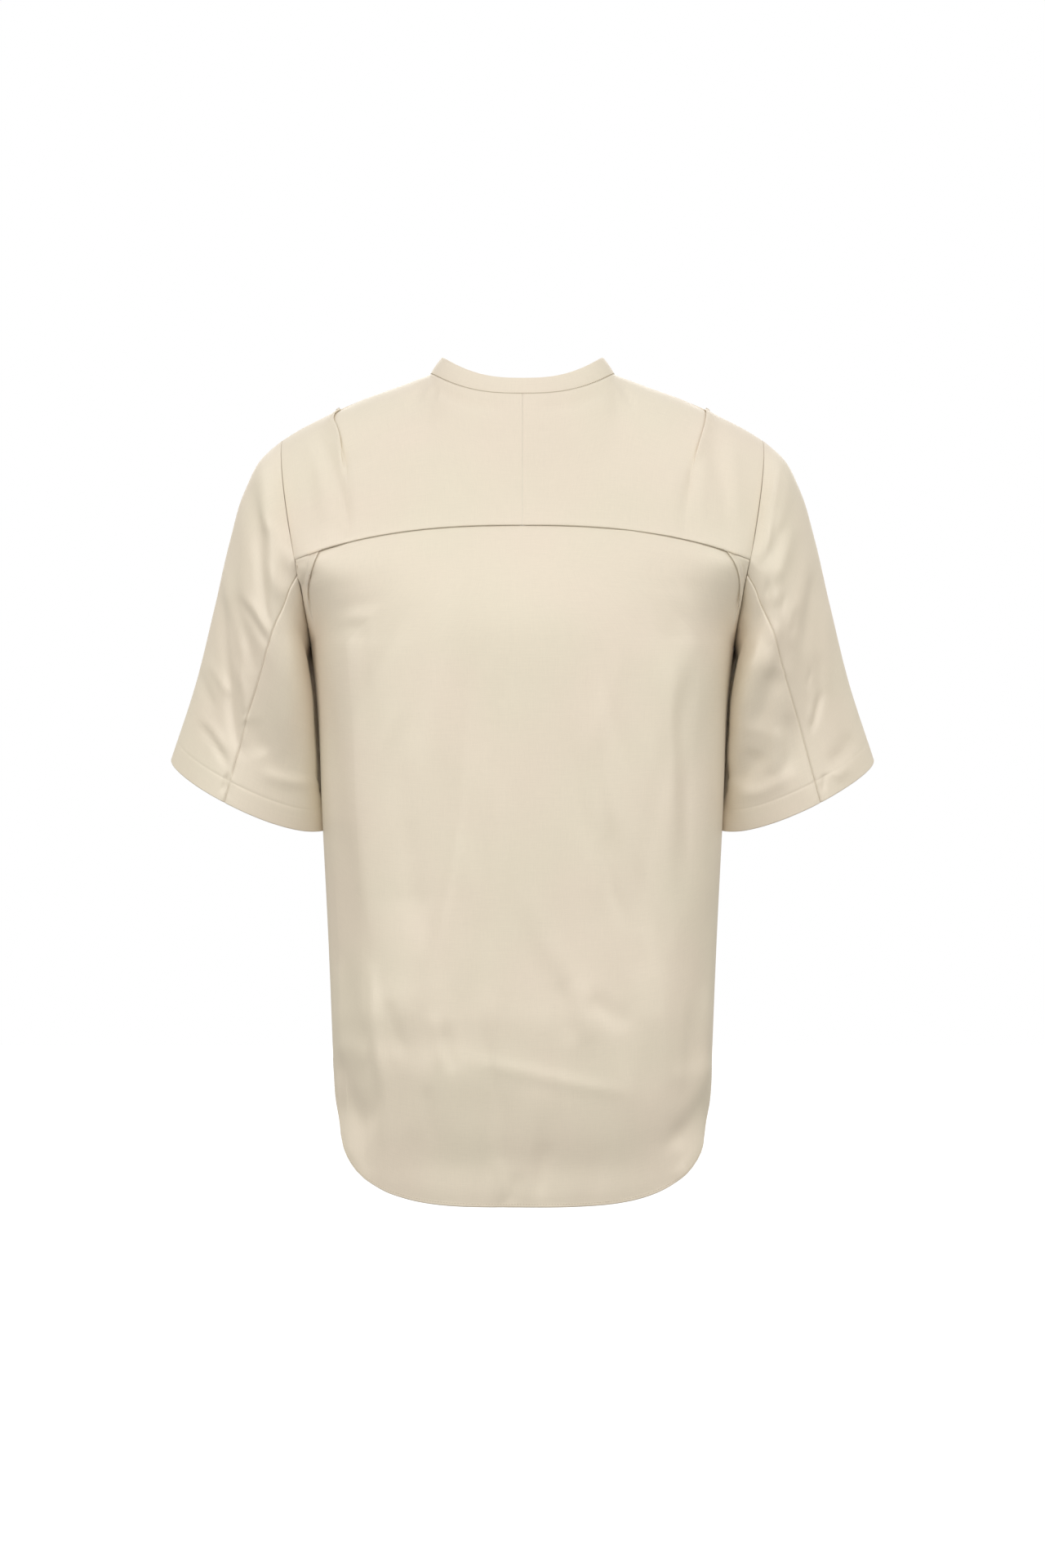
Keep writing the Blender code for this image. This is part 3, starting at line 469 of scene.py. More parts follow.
FRONT_CREASES = [
    (9.0, -1.2, (160, -190), (146, -250), (120, -320), (104, -380)),
    (7.0, 0.9, (166, -240), (152, -290), (136, -360)),
    (8.0, -1.0, (-162, -200), (-140, -270), (-118, -330), (-112, -410)),
    (7.0, 0.8, (-168, -246), (-150, -310), (-140, -372)),
    (12.0, 1.6, (26, -190), (38, -280), (40, -400), (34, -520)),
    (11.0, -1.5, (-8, -180), (-4, -300), (-10, -430), (-16, -560)),
    (12.0, 1.5, (-52, -200), (-62, -320), (-70, -450), (-66, -600)),
    (10.0, -1.6, (78, -330), (84, -430), (80, -540), (70, -640)),
    (8.0, -1.2, (118, -400), (122, -500), (112, -610)),
    (8.0, -1.3, (-112, -380), (-118, -490), (-112, -590)),
    (14.0, 1.2, (130, -575), (60, -592), (-20, -600), (-110, -588)),
    (18.0, -1.6, (120, -640), (0, -655), (-120, -642)),
    (5.0, 0.9, (64, -18), (60, -60), (48, -104)),
    (5.0, -0.8, (78, -24), (76, -70), (66, -122)),
    (5.0, 0.9, (-66, -20), (-64, -66), (-54, -112)),
    (5.0, -0.8, (-80, -26), (-78, -74), (-70, -130)),
]
# Faint scattered ones: seed, count, the corners of their box, lean, lengths, widths, height
SCATTERED = {
    "yoke left": (11, 16, (20, -150), (190, -30), 0.3, (25, 70), (5, 10), 0.18),
    "yoke right": (12, 16, (-190, -150), (-20, -30), 0.3, (25, 70), (5, 10), 0.18),
    "back": (21, 90, (-165, -690), (165, -180), 0.14, (80, 320), (4, 13), 0.36),
    "tail": (22, 14, (-150, -690), (150, -480), 0.9, (60, 140), (12, 22), 0.3),
    "front": (31, 70, (-165, -670), (165, -60), 0.2, (60, 200), (5, 12), 0.28),
    "sleeve left": (41, 26, (185, -370), (300, -90), 0.35, (40, 120), (4, 9), 0.25),
    "sleeve right": (43, 26, (-300, -370), (-185, -90), 0.35, (40, 120), (4, 9), 0.25),
}
RANDOM_BOW = 0.12  # how much they bow, as a share of their half length


def power(value, exponent):
    """A value's power that keeps its sign."""
    return np.sign(value) * np.abs(value) ** exponent


def vectors(x, y, z):
    """Points from their coordinates."""
    return np.stack(np.broadcast_arrays(x, y, z), axis=-1).astype(float)


def mix(first, second, share):
    return first + (second - first) * share


def pick(choice, first, second):
    """The first points where the choice holds, and the second ones elsewhere."""
    return np.where(np.asarray(choice)[..., None], first, second)


def ease(share):
    """A smooth step from 0 to 1."""
    share = np.clip(share, 0.0, 1.0)
    return share * share * (3 - 2 * share)


def grown(value, limits):
    """How far something has grown at a value, from limits that say where it starts and over how much."""
    start, over = limits
    return ease((value - start) / over)


def unit(directions):
    return directions / np.linalg.norm(directions, axis=-1, keepdims=True)


def hermite(start, leaving, end, arriving, share):
    """A smooth way from a start to an end, with the slopes that it leaves and arrives with."""
    back = 1 - share
    return (
        (1 + 2 * share) * back**2 * start
        + share * back**2 * leaving
        + share**2 * (3 - 2 * share) * end
        - share**2 * back * arriving
    )


def curve(places, values, at):
    """A smooth curve through values at increasing places."""
    places, values = np.asarray(places, float), np.asarray(values, float)
    slopes = np.gradient(values, places, axis=0)
    at = np.clip(at, places[0], places[-1])
    k = np.clip(np.searchsorted(places, at, side="right") - 1, 0, len(places) - 2)
    step = places[k + 1] - places[k]
    share = (at - places[k]) / step
    if values.ndim > 1:
        step, share = step[..., None], share[..., None]
    return hermite(values[k], slopes[k] * step, values[k + 1], slopes[k + 1] * step, share)


def way_along(line):
    """How far along a line each of its points lies."""
    return np.pad(np.cumsum(np.linalg.norm(np.diff(line, axis=0), axis=1)), (1, 0))


def torso(angle, height):
    """The body at an angle, 0 at centre back and pi at centre front, and a height."""
    angle, height = np.broadcast_arrays(angle, height)
    half_width, back, front = np.moveaxis(curve(TORSO[:, 0], TORSO[:, 1:], height), -1, 0)
    across, along = np.sin(angle), np.cos(angle)
    depth = np.where(along > 0, back, front)
    return vectors(half_width * power(across, ROUNDNESS), depth * power(along, ROUNDNESS), height)


def lower_height(angle, share):
    """The height at a share of the way from the underarm to the hem."""
    drop = np.where(np.cos(angle) > 0, TAIL_DROP_BACK, TAIL_DROP_FRONT)
    across = np.minimum(np.abs(np.sin(angle)) ** ROUNDNESS, 1.0)
    tail = SIDE_HEM_HEIGHT - drop * (1 - across**TAIL_ROUNDNESS) ** (1 / TAIL_ROUNDNESS)
    return mix(UNDERARM_HEIGHT, tail, share)


def neck(angle):
    """The neck's seam at an angle."""
    across, along = np.sin(angle), np.cos(angle)
    at_back = along > 0
    depth = np.where(at_back, NECK_BACK, NECK_FRONT)
    drop = np.where(
        at_back,
        NECK_BACK_DROP * (1 - np.abs(across) ** NECK_BACK_DIP),
        NECK_FRONT_DROP * np.abs(along) ** NECK_FRONT_DIP,
    )
    return vectors(NECK_HALF_WIDTH * across, depth * power(along, NECK_SQUARE), -drop)


def shoulder(share):
    """The shoulder seam at a share of the way from the neck to the armhole."""
    out = mix(SHOULDER[0, 0], SHOULDER[-1, 0], share)
    return vectors(out, 0, curve(SHOULDER[:, 0], SHOULDER[:, 1], out))


def yoke_seam(out_share):
    """The yoke's lower seam at a share of its half width."""
    out_share = np.clip(out_share, 0, 1)
    here = np.cos(np.arcsin(YOKE_TURN * out_share ** (1 / ROUNDNESS))) ** ROUNDNESS
    end = math.cos(math.asin(YOKE_TURN)) ** ROUNDNESS
    bow = (here - end) / (1 - end)
    height = YOKE_HEIGHT - YOKE_DROP * out_share**YOKE_BEND
    return vectors(YOKE_HALF_WIDTH * out_share, mix(YOKE_SIDE_BACK, YOKE_BACK, bow), height)


def corner_shares(column):
    """Whether a column is inside the neck's corner, and its shares of the way to and past it."""
    inner = np.clip(column / CORNER, 0, 1)
    outer = np.clip((column - CORNER) / (1 - CORNER), 0, 1)
    return column < CORNER, inner, outer


def leaving_top(at_neck, inner, outer, at_centre, at_corner, at_armhole):
    """Which way the cloth leaves its upper edge, from the ways at the centre, corner and armhole."""
    from_neck = mix(at_centre, at_corner, inner[..., None] ** 3)
    return pick(at_neck, from_neck, mix(at_corner, at_armhole, outer[..., None]))


def side_share(column):
    """How much a column of a body panel belongs to the side."""
    return ease((column - SIDE_FROM) / (1 - SIDE_FROM))[..., None]


def body_surface(angle, row, start, leaving, arriving):
    """A body panel: from its upper edge to the underarm in row 1, and on down to the hem in row 2."""
    upper = hermite(start, leaving, torso(angle, UNDERARM_HEIGHT), arriving, np.minimum(row, 1)[..., None])
    return pick(row <= 1, upper, torso(angle, lower_height(angle, np.maximum(row - 1, 0))))


def yoke_surface(column, row):
    """The left yoke: column 0 is centre back and 1 the armhole, row 0 the top and 1 the seam."""
    column, row = np.broadcast_arrays(np.asarray(column, float), np.asarray(row, float))
    at_neck, inner, outer = corner_shares(column)
    out_share = np.where(at_neck, CORNER_OUT * inner, mix(CORNER_OUT, 1, outer))
    start = pick(at_neck, neck(math.pi / 2 * inner), shoulder(outer))
    leaving = leaving_top(
        at_neck, inner, outer, YOKE_LEAVES_NECK, YOKE_LEAVES_CORNER, YOKE_LEAVES_ARMHOLE,
    )
    arriving = mix(YOKE_ARRIVES_CENTRE, YOKE_ARRIVES_ARMHOLE, out_share[..., None] ** 4)
    return hermite(start, leaving, yoke_seam(out_share), arriving, row[..., None])


def back_surface(column, row):
    """The left back: row 0 is the yoke seam, 1 the underarm and 2 the hem."""
    column, row = np.broadcast_arrays(np.asarray(column, float), np.asarray(row, float))
    angle = math.pi / 2 * column
    start = yoke_seam(np.sin(np.clip(angle, 0, math.pi / 2)) ** ROUNDNESS) - vectors(0, 0, SEAM)
    side = side_share(column)
    leaving = mix(BACK_LEAVES_CENTRE, BACK_LEAVES_ARMHOLE, side)
    arriving = mix(BACK_ARRIVES_CENTRE, BACK_ARRIVES_UNDERARM, side**2)
    return body_surface(angle, row, start, leaving, arriving)


def front_surface(column, row):
    """The left front with its slit: column 0 is centre front, row 0 the top, 1 the underarm and 2 the hem."""
    column, row = np.broadcast_arrays(np.asarray(column, float), np.asarray(row, float))
    at_neck, inner, outer = corner_shares(column)
    corner_angle = math.radians(FRONT_CORNER_ANGLE)
    angle = math.pi - np.where(at_neck, corner_angle * inner, mix(corner_angle, math.pi / 2, outer))
    start = pick(at_neck, neck(math.pi - math.pi / 2 * inner), shoulder(outer) - vectors(0, SEAM, 0))
    leaving = leaving_top(
        at_neck, inner, outer, FRONT_LEAVES_NECK, FRONT_LEAVES_CORNER, FRONT_LEAVES_ARMHOLE,
    )
    arriving = mix(FRONT_ARRIVES_CENTRE, FRONT_ARRIVES_UNDERARM, side_share(column) ** 2)
    point = body_surface(angle, row, start, leaving, arriving)
    return point + vectors(slit_opening(column, row), 0, 0)


def slit_opening(column, row):
    """How far the slit moves the front out at a place."""
    return SLIT_HALF_WIDTH * np.maximum(1 - row / SLIT_SHARE, 0) * np.maximum(1 - column / CORNER, 0) ** 2


def facing(surface, column, row):
    """A surface's outward direction, from small steps across and down it."""
    step = SMALL_STEP
    left, right = np.maximum(column - step, 0), np.minimum(column + step, 1)
    up = np.where(row < step, row, row - step)
    down = np.where(row < step, row + step, row)
    across = surface(right, row) - surface(left, row)
    along = surface(column, down) - surface(column, up)
    return unit(np.cross(across, along))


def grid_out(grid):
    """The outward direction at each point of a grid."""
    return unit(np.cross(np.gradient(grid, axis=1), np.gradient(grid, axis=0)))


def steps(first, last, count, length, near_first=True, near_last=True):
    """Places from first to last, closer beside an edge. length is the way between them in millimetres."""
    near = np.array(NEAR_EDGE) / length * (last - first)
    middle_first = first + (near[-1] if near_first else 0)
    middle_last = last - (near[-1] if near_last else 0)
    places = [np.linspace(middle_first, middle_last, count)]
    if near_first:
        places.insert(0, first + near[:-1])
    if near_last:
        places.append(last - near[-2::-1])
    return np.concatenate(places)


def fold_section(depth, turn, size, standing):
    """A fold's section as (outward of the fold, above the surface), from the centre part outward."""
    edge, hidden = EDGE_RADIUS * size, HIDDEN_RADIUS * size
    edge_turns = (np.arange(EDGE_STEPS) + 0.5) / EDGE_STEPS * 180
    hidden_turns = 180 - (np.arange(HIDDEN_STEPS) + 0.5) / HIDDEN_STEPS * 180
    run = np.full(RUN_STEPS, (depth + PLEAT_SLACK) / RUN_STEPS)
    lengths = np.concatenate([
        np.full(EDGE_STEPS, math.pi * edge / EDGE_STEPS), run,
        np.full(HIDDEN_STEPS, math.pi * hidden / HIDDEN_STEPS), run,
    ])
    headings = np.concatenate([edge_turns, np.full(RUN_STEPS, 180), hidden_turns, np.zeros(RUN_STEPS)])
    turned = np.radians(headings * turn)
    along = edge - np.concatenate([[0], np.cumsum(lengths * np.cos(turned))])
    above = -np.concatenate([[0], np.cumsum(lengths * np.sin(turned))])
    on_top = -above[-1] * PLEAT_ON_TOP * standing
    sunk = above[-1] + on_top
    behind = along[-1] - PLEAT_BEHIND[:, 0] * mix(PLEAT_BEHIND_AT_SEAM, 1, standing)
    along = np.concatenate([PLEAT_BEYOND[:, 0] + edge, along, behind])
    above = np.concatenate([on_top * PLEAT_BEYOND[:, 1], above + on_top, sunk * PLEAT_BEHIND[:, 1]])
    return along[::-1], above[::-1]


def pleated_grid(surface, rows, run, size, lift, plain_inside, plain_outside):
    """A panel's left half whose surface is folded along a run, and plain inside and outside of that."""
    grid = []
    for row in rows:
        place, depth, turn = curve(run[:, 0], run[:, 1:], row)
        depth, turn = max(depth, 0), min(max(turn, 0), 1)
        here, there = surface(place - SMALL_STEP, row), surface(place + SMALL_STEP, row)
        pace = 2 * SMALL_STEP / np.linalg.norm(there - here)
        standing = mix(PLEAT_AT_SEAM, 1, ease(row / PLEAT_STANDS_FROM))
        along, above = fold_section(depth, turn, size, standing)
        columns = place + along * pace
        above = above + lift * standing * turn * np.exp(-((along / TUCK_SPREAD) ** 2))
        folded = surface(columns, row) + facing(surface, columns, np.full_like(columns, row)) * above[:, None]
        inside = surface(plain_inside(columns[0]), row)
        outside = surface(plain_outside(columns[-1]), row)
        grid.append(np.concatenate([inside, folded, outside]))
    return np.array(grid)


# --- creases ---


def seen_from(points, side):
    """Where points lie in the plane of the shoulders, seen from behind (1) or from before (-1)."""
    scale = VIEW_DISTANCE / (VIEW_DISTANCE - side * points[..., 1])
    return np.stack([points[..., 0] * scale, (points[..., 2] - VIEW_HEIGHT) * scale + VIEW_HEIGHT], axis=-1)


def crease_heights(flat, creases):
    """The height that a list of creases gives to each point of the view plane."""
    total = np.zeros(flat.shape[:-1])
    for width, height, *points in creases:
        points = np.array(points, float)
        line = points
        if len(points) > 2:
            lengths = way_along(points)
            count = max(CREASE_LEAST_POINTS, int(lengths[-1] / CREASE_POINT_STEP))
            line = curve(lengths, points, np.linspace(0, lengths[-1], count))
        low, high = line.min(axis=0) - 3 * width, line.max(axis=0) + 3 * width
        near = np.all((flat > low) & (flat < high), axis=-1)
        if not near.any():
            continue
        spot = flat[near][:, None]
        start, way = line[:-1], np.diff(line, axis=0)
        share = np.clip(((spot - start) * way).sum(-1) / (way**2).sum(-1), 0, 1)
        away = np.linalg.norm(spot - start - way * share[..., None], axis=-1)
        best = away.argmin(axis=1)
        every = np.arange(len(best))
        along = (best + share[every, best]) / len(way)
        taper = np.sqrt(ease(along / CREASE_TAPER) * ease((1 - along) / CREASE_TAPER))
        taper = taper * (1 - CREASE_AT_END) + CREASE_AT_END
        total[near] += height * taper * np.exp(-((away[every, best] / width) ** 2))
    return total


def random_creases(seed, count, low, high, lean, lengths, widths, height):
    """Faint creases scattered over a box of the view plane, mostly upright."""
    rng = np.random.default_rng(seed)
    creases = []
    for _ in range(count):
        middle = rng.uniform(low, high)
        angle = math.pi / 2 + rng.normal(0, lean)
        half = rng.uniform(*lengths) / 2 * np.array((math.cos(angle), math.sin(angle)))
        bow = np.array((-half[1], half[0])) * rng.normal(0, RANDOM_BOW)
        creases.append((
            rng.uniform(*widths), height * rng.normal(0, 1),
            tuple(middle - half), tuple(middle + bow), tuple(middle + half),
        ))
    return creases


def without(directions, axis):
    """Directions with one axis taken out of them."""
    return unit(np.where(np.arange(3) == axis, 0.0, directions))


def mirrored(grid):
    """A grid for the other side, with its columns still in order round the body."""
    return (grid * (-1, 1, 1))[:, ::-1]


def on_shoulder(grid):
    """Where in a grid's first row the shoulder's seam is, but for the neck's."""
    return 0, np.abs(grid[0, :, 0]) > NECK_HALF_WIDTH - SEAM


class Panel:
    """A grid of points on a piece's outer face, with their outward directions and the wall behind each."""

    def __init__(self, grid, wall=WALL):
        self.grid = grid
        self.out = grid_out(grid)
        self.wall = np.full(grid.shape[:2], float(wall))

    def distances(self, edge):
        """How far each point lies from an edge, and how far along it."""
        step_down, step_across = (np.linalg.norm(np.diff(self.grid, axis=k), axis=2) for k in (0, 1))
        down = np.pad(np.cumsum(step_down, axis=0), ((1, 0), (0, 0)))
        across = np.pad(np.cumsum(step_across, axis=1), ((0, 0), (1, 0)))
        return {
            "top": (down, across),
            "bottom": (down[-1:] - down, across),
            "first": (across, down),
            "last": (across[:, -1:] - across, down),
        }[edge]

    def raise_by(self, height):
        self.grid = self.grid + self.out * height[..., None]

    def sew(self, *edges, sink=SEAM_SINK, reach=SEAM_SINK_REACH):
        """Sinks the cloth to its seams, puckers it beside them and turns its allowance in."""
        height = np.zeros(self.wall.shape)
        for edge in edges:
            away, along = self.distances(edge)
            height -= sink * np.exp(-((away / reach) ** 2))
            drift = PUCKER_DRIFT * np.sin(along / PUCKER_DRIFT_LENGTH)
            wave = np.sin(along / PUCKER_LENGTH * 2 * math.pi + drift)
            height += PUCKER * wave * np.exp(-away / PUCKER_REACH) * ease(away / PUCKER_FROM)
            self.wall = np.maximum(self.wall, mix(SEAM_WALL, WALL, ease(away / SEAM_WALL_REACH)))
        self.raise_by(height)

    def hem(self, edge, depth, wall, wave, line):
        """Turns an edge up: thicker to a depth, rounded off, with a sunk line where the turning ends."""
        away, along = self.distances(edge)
        inside = ease((depth + 0.5 - away) / HEM_STEP)
        self.wall = np.maximum(self.wall, mix(WALL, wall, inside))
        drift = HEM_WAVE_DRIFT * np.sin(along / HEM_WAVE_DRIFT_LENGTH)
        wobble = np.sin(along / HEM_WAVE_LENGTH + drift) * np.exp(-away / HEM_WAVE_REACH)
        height = wave * wobble - line * np.exp(-((away - depth) ** 2))
        self.raise_by(height)
        self.round_off(edge, wall)

    def round_off(self, edge, wall):
        """Rounds a thick edge off."""
        away, _ = self.distances(edge)
        share = np.sqrt(1 - (1 - np.clip(away / (wall / 2), 0, 1)) ** 2)
        thin = np.maximum(wall * share, EDGE_WALL)
        round_here = away < wall / 2
        self.raise_by(np.where(round_here, -(wall - thin) / 2, 0))
        self.wall = np.where(round_here, np.minimum(self.wall, thin), self.wall)

    def face_without(self, axis, place):
        """Lets the wall run straight in at an edge, as its neighbour's does."""
        self.out[place] = without(self.out[place], axis)


def lay_creases(panel, creases, side=1, depth=1.0):
    """Lays creases on a panel where it faces the back (side 1), or the front off the ties (side -1)."""
    weight = ease(side * panel.out[..., 1] / FACING_FROM) * CREASE_DEPTH * depth
    if side < 0:
        out, height = np.abs(panel.grid[..., 0]), panel.grid[..., 2]
        ties = ease((TIES_REACH - out) / TIES_REACH_FADE) * ease((height + TIES_DROP) / TIES_DROP_FADE)
        weight = weight * (1 - ties)
    panel.raise_by(crease_heights(seen_from(panel.grid, side), creases) * weight)
    panel.out = grid_out(panel.grid)


def placed(name, data):
    """A new object in the scene."""
    made = bpy.data.objects.new(name, data)
    bpy.context.collection.objects.link(made)
    return made


def cloth(name, panels, node):
    """Makes a piece of closed shells from panels, welded where their points meet."""
    outer = np.concatenate([panel.grid.reshape(-1, 3) for panel in panels])
    inner = np.concatenate([
        (panel.grid - panel.out * panel.wall[..., None]).reshape(-1, 3) for panel in panels
    ])
    flats, faces, start = [], [], 0
    for panel in panels:
        rows, columns = panel.wall.shape
        place = np.arange(rows * columns).reshape(rows, columns) + start
        corners = [place[:-1, :-1], place[:-1, 1:], place[1:, 1:], place[1:, :-1]]
        faces.append(np.stack(corners, -1).reshape(-1, 4))
        start += rows * columns
        middle_row, middle_column = panel.grid[rows // 2], panel.grid[:, columns // 2]
        across = way_along(middle_row)
        across -= across[np.abs(middle_row[:, 0]).argmin()]
        flats.append(np.stack(np.meshgrid(across, way_along(middle_column)), -1).reshape(-1, 2))
    flat = np.concatenate(flats)
    _, first, welded = np.unique(np.round(outer, 3), axis=0, return_index=True, return_inverse=True)
    outer, inner, flat = outer[first], inner[first], flat[first]
    count = len(outer)
    outside = welded.reshape(-1)[np.concatenate(faces)]
    inside = outside[:, (0, 3, 2, 1)] + count
    sides = {(a, b) for quad in outside.tolist() for a, b in zip(quad, quad[1:] + quad[:1])}
    rim = [(b, a, a + count, b + count) for a, b in sorted(sides) if (b, a) not in sides]
    mesh = bpy.data.meshes.new(name)
    mesh.from_pydata(
        (np.concatenate([outer, inner]) * MILLIMETRE).tolist(), [],
        outside.tolist() + inside.tolist() + rim,
    )
    smooth = np.ones(len(mesh.polygons), bool)
    smooth[len(outside) + len(inside):] = False
    mesh.polygons.foreach_set("use_smooth", smooth)
    side_of = np.zeros(len(mesh.polygons), int)
    side_of[len(outside): len(outside) + len(inside)] = 1
    mesh.materials.append(SATIN)
    mesh.materials.append(REVERSE)
    mesh.polygons.foreach_set("material_index", side_of)
    layer = mesh.uv_layers.new(name="flat")
    corners = np.empty(len(mesh.loops), int)
    mesh.loops.foreach_get("vertex_index", corners)
    layer.data.foreach_set("uv", (flat[corners % count] * MILLIMETRE).ravel())
    mesh.update()
    piece = placed(name, mesh)
    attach(piece, "root")
    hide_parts(node)
    return piece


# --- the body ---


def eased_corner(grid):
    """A grid whose break below the neck's corner is smoothed away, save at its top edge."""
    down = np.cumsum(np.linalg.norm(np.diff(grid, axis=0, prepend=grid[:1]), axis=2), axis=0)
    out = np.abs(grid[..., 0])
    near = np.exp(-(((out - NECK_HALF_WIDTH) / CORNER_REACH) ** 2))
    share = CORNER_EASING * ease(down / CORNER_FROM_TOP) * near
    share[:, (0, -1)] = 0
    for _ in range(CORNER_PASSES):
        middle = (np.roll(grid, 1, axis=1) + np.roll(grid, -1, axis=1)) / 2
        grid = mix(grid, middle, share[..., None])
    return grid


def yoke_grid(tuck):
    """The left half of the yoke, with its tuck."""
    def inside(end):
        return np.concatenate([
            steps(0, CORNER, count=30, length=79, near_last=False),
            np.linspace(CORNER, end, 9)[1:-1],
        ])

    def outside(start):
        return steps(start, 1, count=12, length=28, near_first=False)[1:]

    rows = steps(0, 1, count=40, length=118)
    grid = pleated_grid(yoke_surface, rows, tuck, TUCK_SIZE, TUCK_LIFT, inside, outside)
    grid[(*on_shoulder(grid), 1)] = 0
    grid[:, 0, 0] += YOKE_CENTRE_SEAM / 2
    return eased_corner(grid)


def yoke_panel(grid, creases, centre, armhole):
    """One half of the yoke. centre and armhole name its edges at centre back and at the sleeve."""
    panel = Panel(grid)
    away, _ = panel.distances("top")
    heights = crease_heights(seen_from(grid, 1), creases)
    panel.raise_by(heights * ease(away / YOKE_CREASES_FROM) * YOKE_CREASE_DEPTH)
    panel.out = grid_out(panel.grid)
    away, _ = panel.distances("bottom")
    panel.raise_by(YOKE_LIFT * np.exp(-((away / YOKE_LIFT_REACH) ** 2)))
    panel.sew("bottom")
    panel.sew(centre, sink=YOKE_CENTRE_SINK)
    panel.sew("top", armhole, sink=SOFT_SINK, reach=SOFT_SINK_REACH)
    panel.face_without(1, on_shoulder(grid))
    panel.face_without(2, np.s_[-1])
    centre_column = 0 if centre == "first" else -1
    panel.face_without(0, np.s_[:, centre_column])
    return panel


def back_grid():
    """The whole back, with its two pleats."""
    def inside(end):
        return np.linspace(0, end, 50)[:-1]

    def outside(start):
        return steps(start, 1, count=12, length=60, near_first=False)[1:]

    upper = steps(0, 1, count=58, length=100, near_last=False)
    lower = 1 + steps(0, 1, count=118, length=450, near_first=False)[1:]
    rows = np.concatenate([upper, lower])
    halves = []
    for run in (BACK_PLEAT_LEFT, BACK_PLEAT_RIGHT):
        half = pleated_grid(back_surface, rows, run, 1.0, 0.0, inside, outside)
        half[len(upper):, -1, 1] += SEAM / 2
        halves.append(half)
    return np.concatenate([mirrored(halves[1])[:, :-1], halves[0]], axis=1)


def front_grid():
    """The left half of the front."""
    columns = np.concatenate([
        np.linspace(0, CORNER, 34),
        steps(CORNER, 1, count=34, length=130, near_first=False)[1:],
    ])
    upper = steps(0, 1, count=60, length=175, near_last=False)
    lower = 1 + steps(0, 1, count=108, length=440, near_first=False)[1:]
    rows = np.concatenate([upper, lower])
    grid = front_surface(columns[None, :], rows[:, None])
    grid[len(upper):, -1, 1] -= SEAM / 2
    return eased_corner(grid)[:, ::-1]


# --- the sleeves ---


def sleeve_ring_points(ring, angle):
    """Points round one of the sleeve's rings. Angle 0 is its outer side."""
    outer_x, outer_z, inner_x, inner_z, centre_y, half_depth, drop = ring
    across = power(np.cos(angle), SLEEVE_ROUNDNESS)
    along = power(np.sin(angle), SLEEVE_ROUNDNESS)
    middle = np.array(((outer_x + inner_x) / 2, centre_y, (outer_z + inner_z) / 2))
    half = np.array(((outer_x - inner_x) / 2, 0, (outer_z - inner_z) / 2))
    lean = np.array((-RING_LEAN * drop, half_depth, -drop))
    return middle + across[:, None] * half + along[:, None] * lean


def sleeve_grid():
    """The left sleeve as one ring of columns, with the columns of its two seams."""
    front_rows = np.linspace(0, 1, 64)[:-1]
    low_rows = np.linspace(1, SLEEVE_SEAM_SHARE, 40)[:-1]
    high_rows = np.linspace(SLEEVE_SEAM_SHARE, 0, 8)[:-1]
    yoke_rows = np.linspace(1, 0, 46)[:-1]
    edge = np.concatenate([
        front_surface(1.0, front_rows), back_surface(1.0, np.concatenate([low_rows, high_rows])),
        yoke_surface(1.0, yoke_rows),
    ])
    under = len(front_rows)
    seam = under + len(low_rows)
    places = way_along(edge)
    round_it = places[-1] + np.linalg.norm(edge[-1] - edge[0])
    angles = -np.interp(places, [0, places[under], round_it], [0, math.pi, 2 * math.pi])
    cuff_angles = np.interp(
        angles,
        [-2 * math.pi, angles[seam], -math.pi, 0],
        [-2 * math.pi, math.radians(SEAM_AT_CUFF) - 2 * math.pi, -math.pi, 0],
    )
    rings = [edge + np.array((SEAM, 0, 0))]
    for k, ring in enumerate(SLEEVE):
        rings.append(sleeve_ring_points(ring, mix(angles, cuff_angles, ease(k / (len(SLEEVE) - 1)))))
    rings = np.array(rings)
    shares = steps(0, 1, count=68, length=240, near_last=False)
    from_cuff = np.array(CUFF_ROWS)
    grid = np.empty((len(shares) + len(from_cuff) - 1, rings.shape[1], 3))
    for k in range(rings.shape[1]):
        line = rings[:, k]
        places = way_along(line)
        length = places[-1]
        at = np.concatenate([shares * (length - from_cuff[0]), length - from_cuff[1:]])
        grid[:, k] = curve(places, line, at)
    down = np.linspace(0, 1, len(grid))[:, None]
    behind = grid[..., 1]
    inner = grown(-np.cos(angles), DRAWN_IN_ROUND) * grown(-behind, DRAWN_IN_AHEAD)
    inner = inner * grown(down, DRAWN_IN_DOWN)
    beside = body_side(behind, grid[..., 2])
    beside += SLEEVE_CLEAR + SLEEVE_CLEAR_AHEAD * grown(-behind, AHEAD_OF_SIDE)
    beside += (
        SLEEVE_CLEAR_BEHIND * grown(behind, BEHIND_SIDE)
        * grown(down, BEHIND_FROM_ARMHOLE) * grown(-down, BEHIND_FROM_CUFF)
    )
    near = np.maximum(mix(grid[..., 0], beside, inner), beside)
    grid[..., 0] = mix(grid[..., 0], near, grown(down, CLEAR_FROM_ARMHOLE))
    return grid, under, seam


def body_side(y, z):
    """How far out the body's side reaches at a place beside it."""
    half_width, back, front = np.moveaxis(curve(TORSO[:, 0], TORSO[:, 1:], z), -1, 0)
    share = np.clip(np.abs(y) / np.where(y > 0, back, front), 0, 1)
    return half_width * (1 - share ** (2 / ROUNDNESS)) ** (ROUNDNESS / 2)


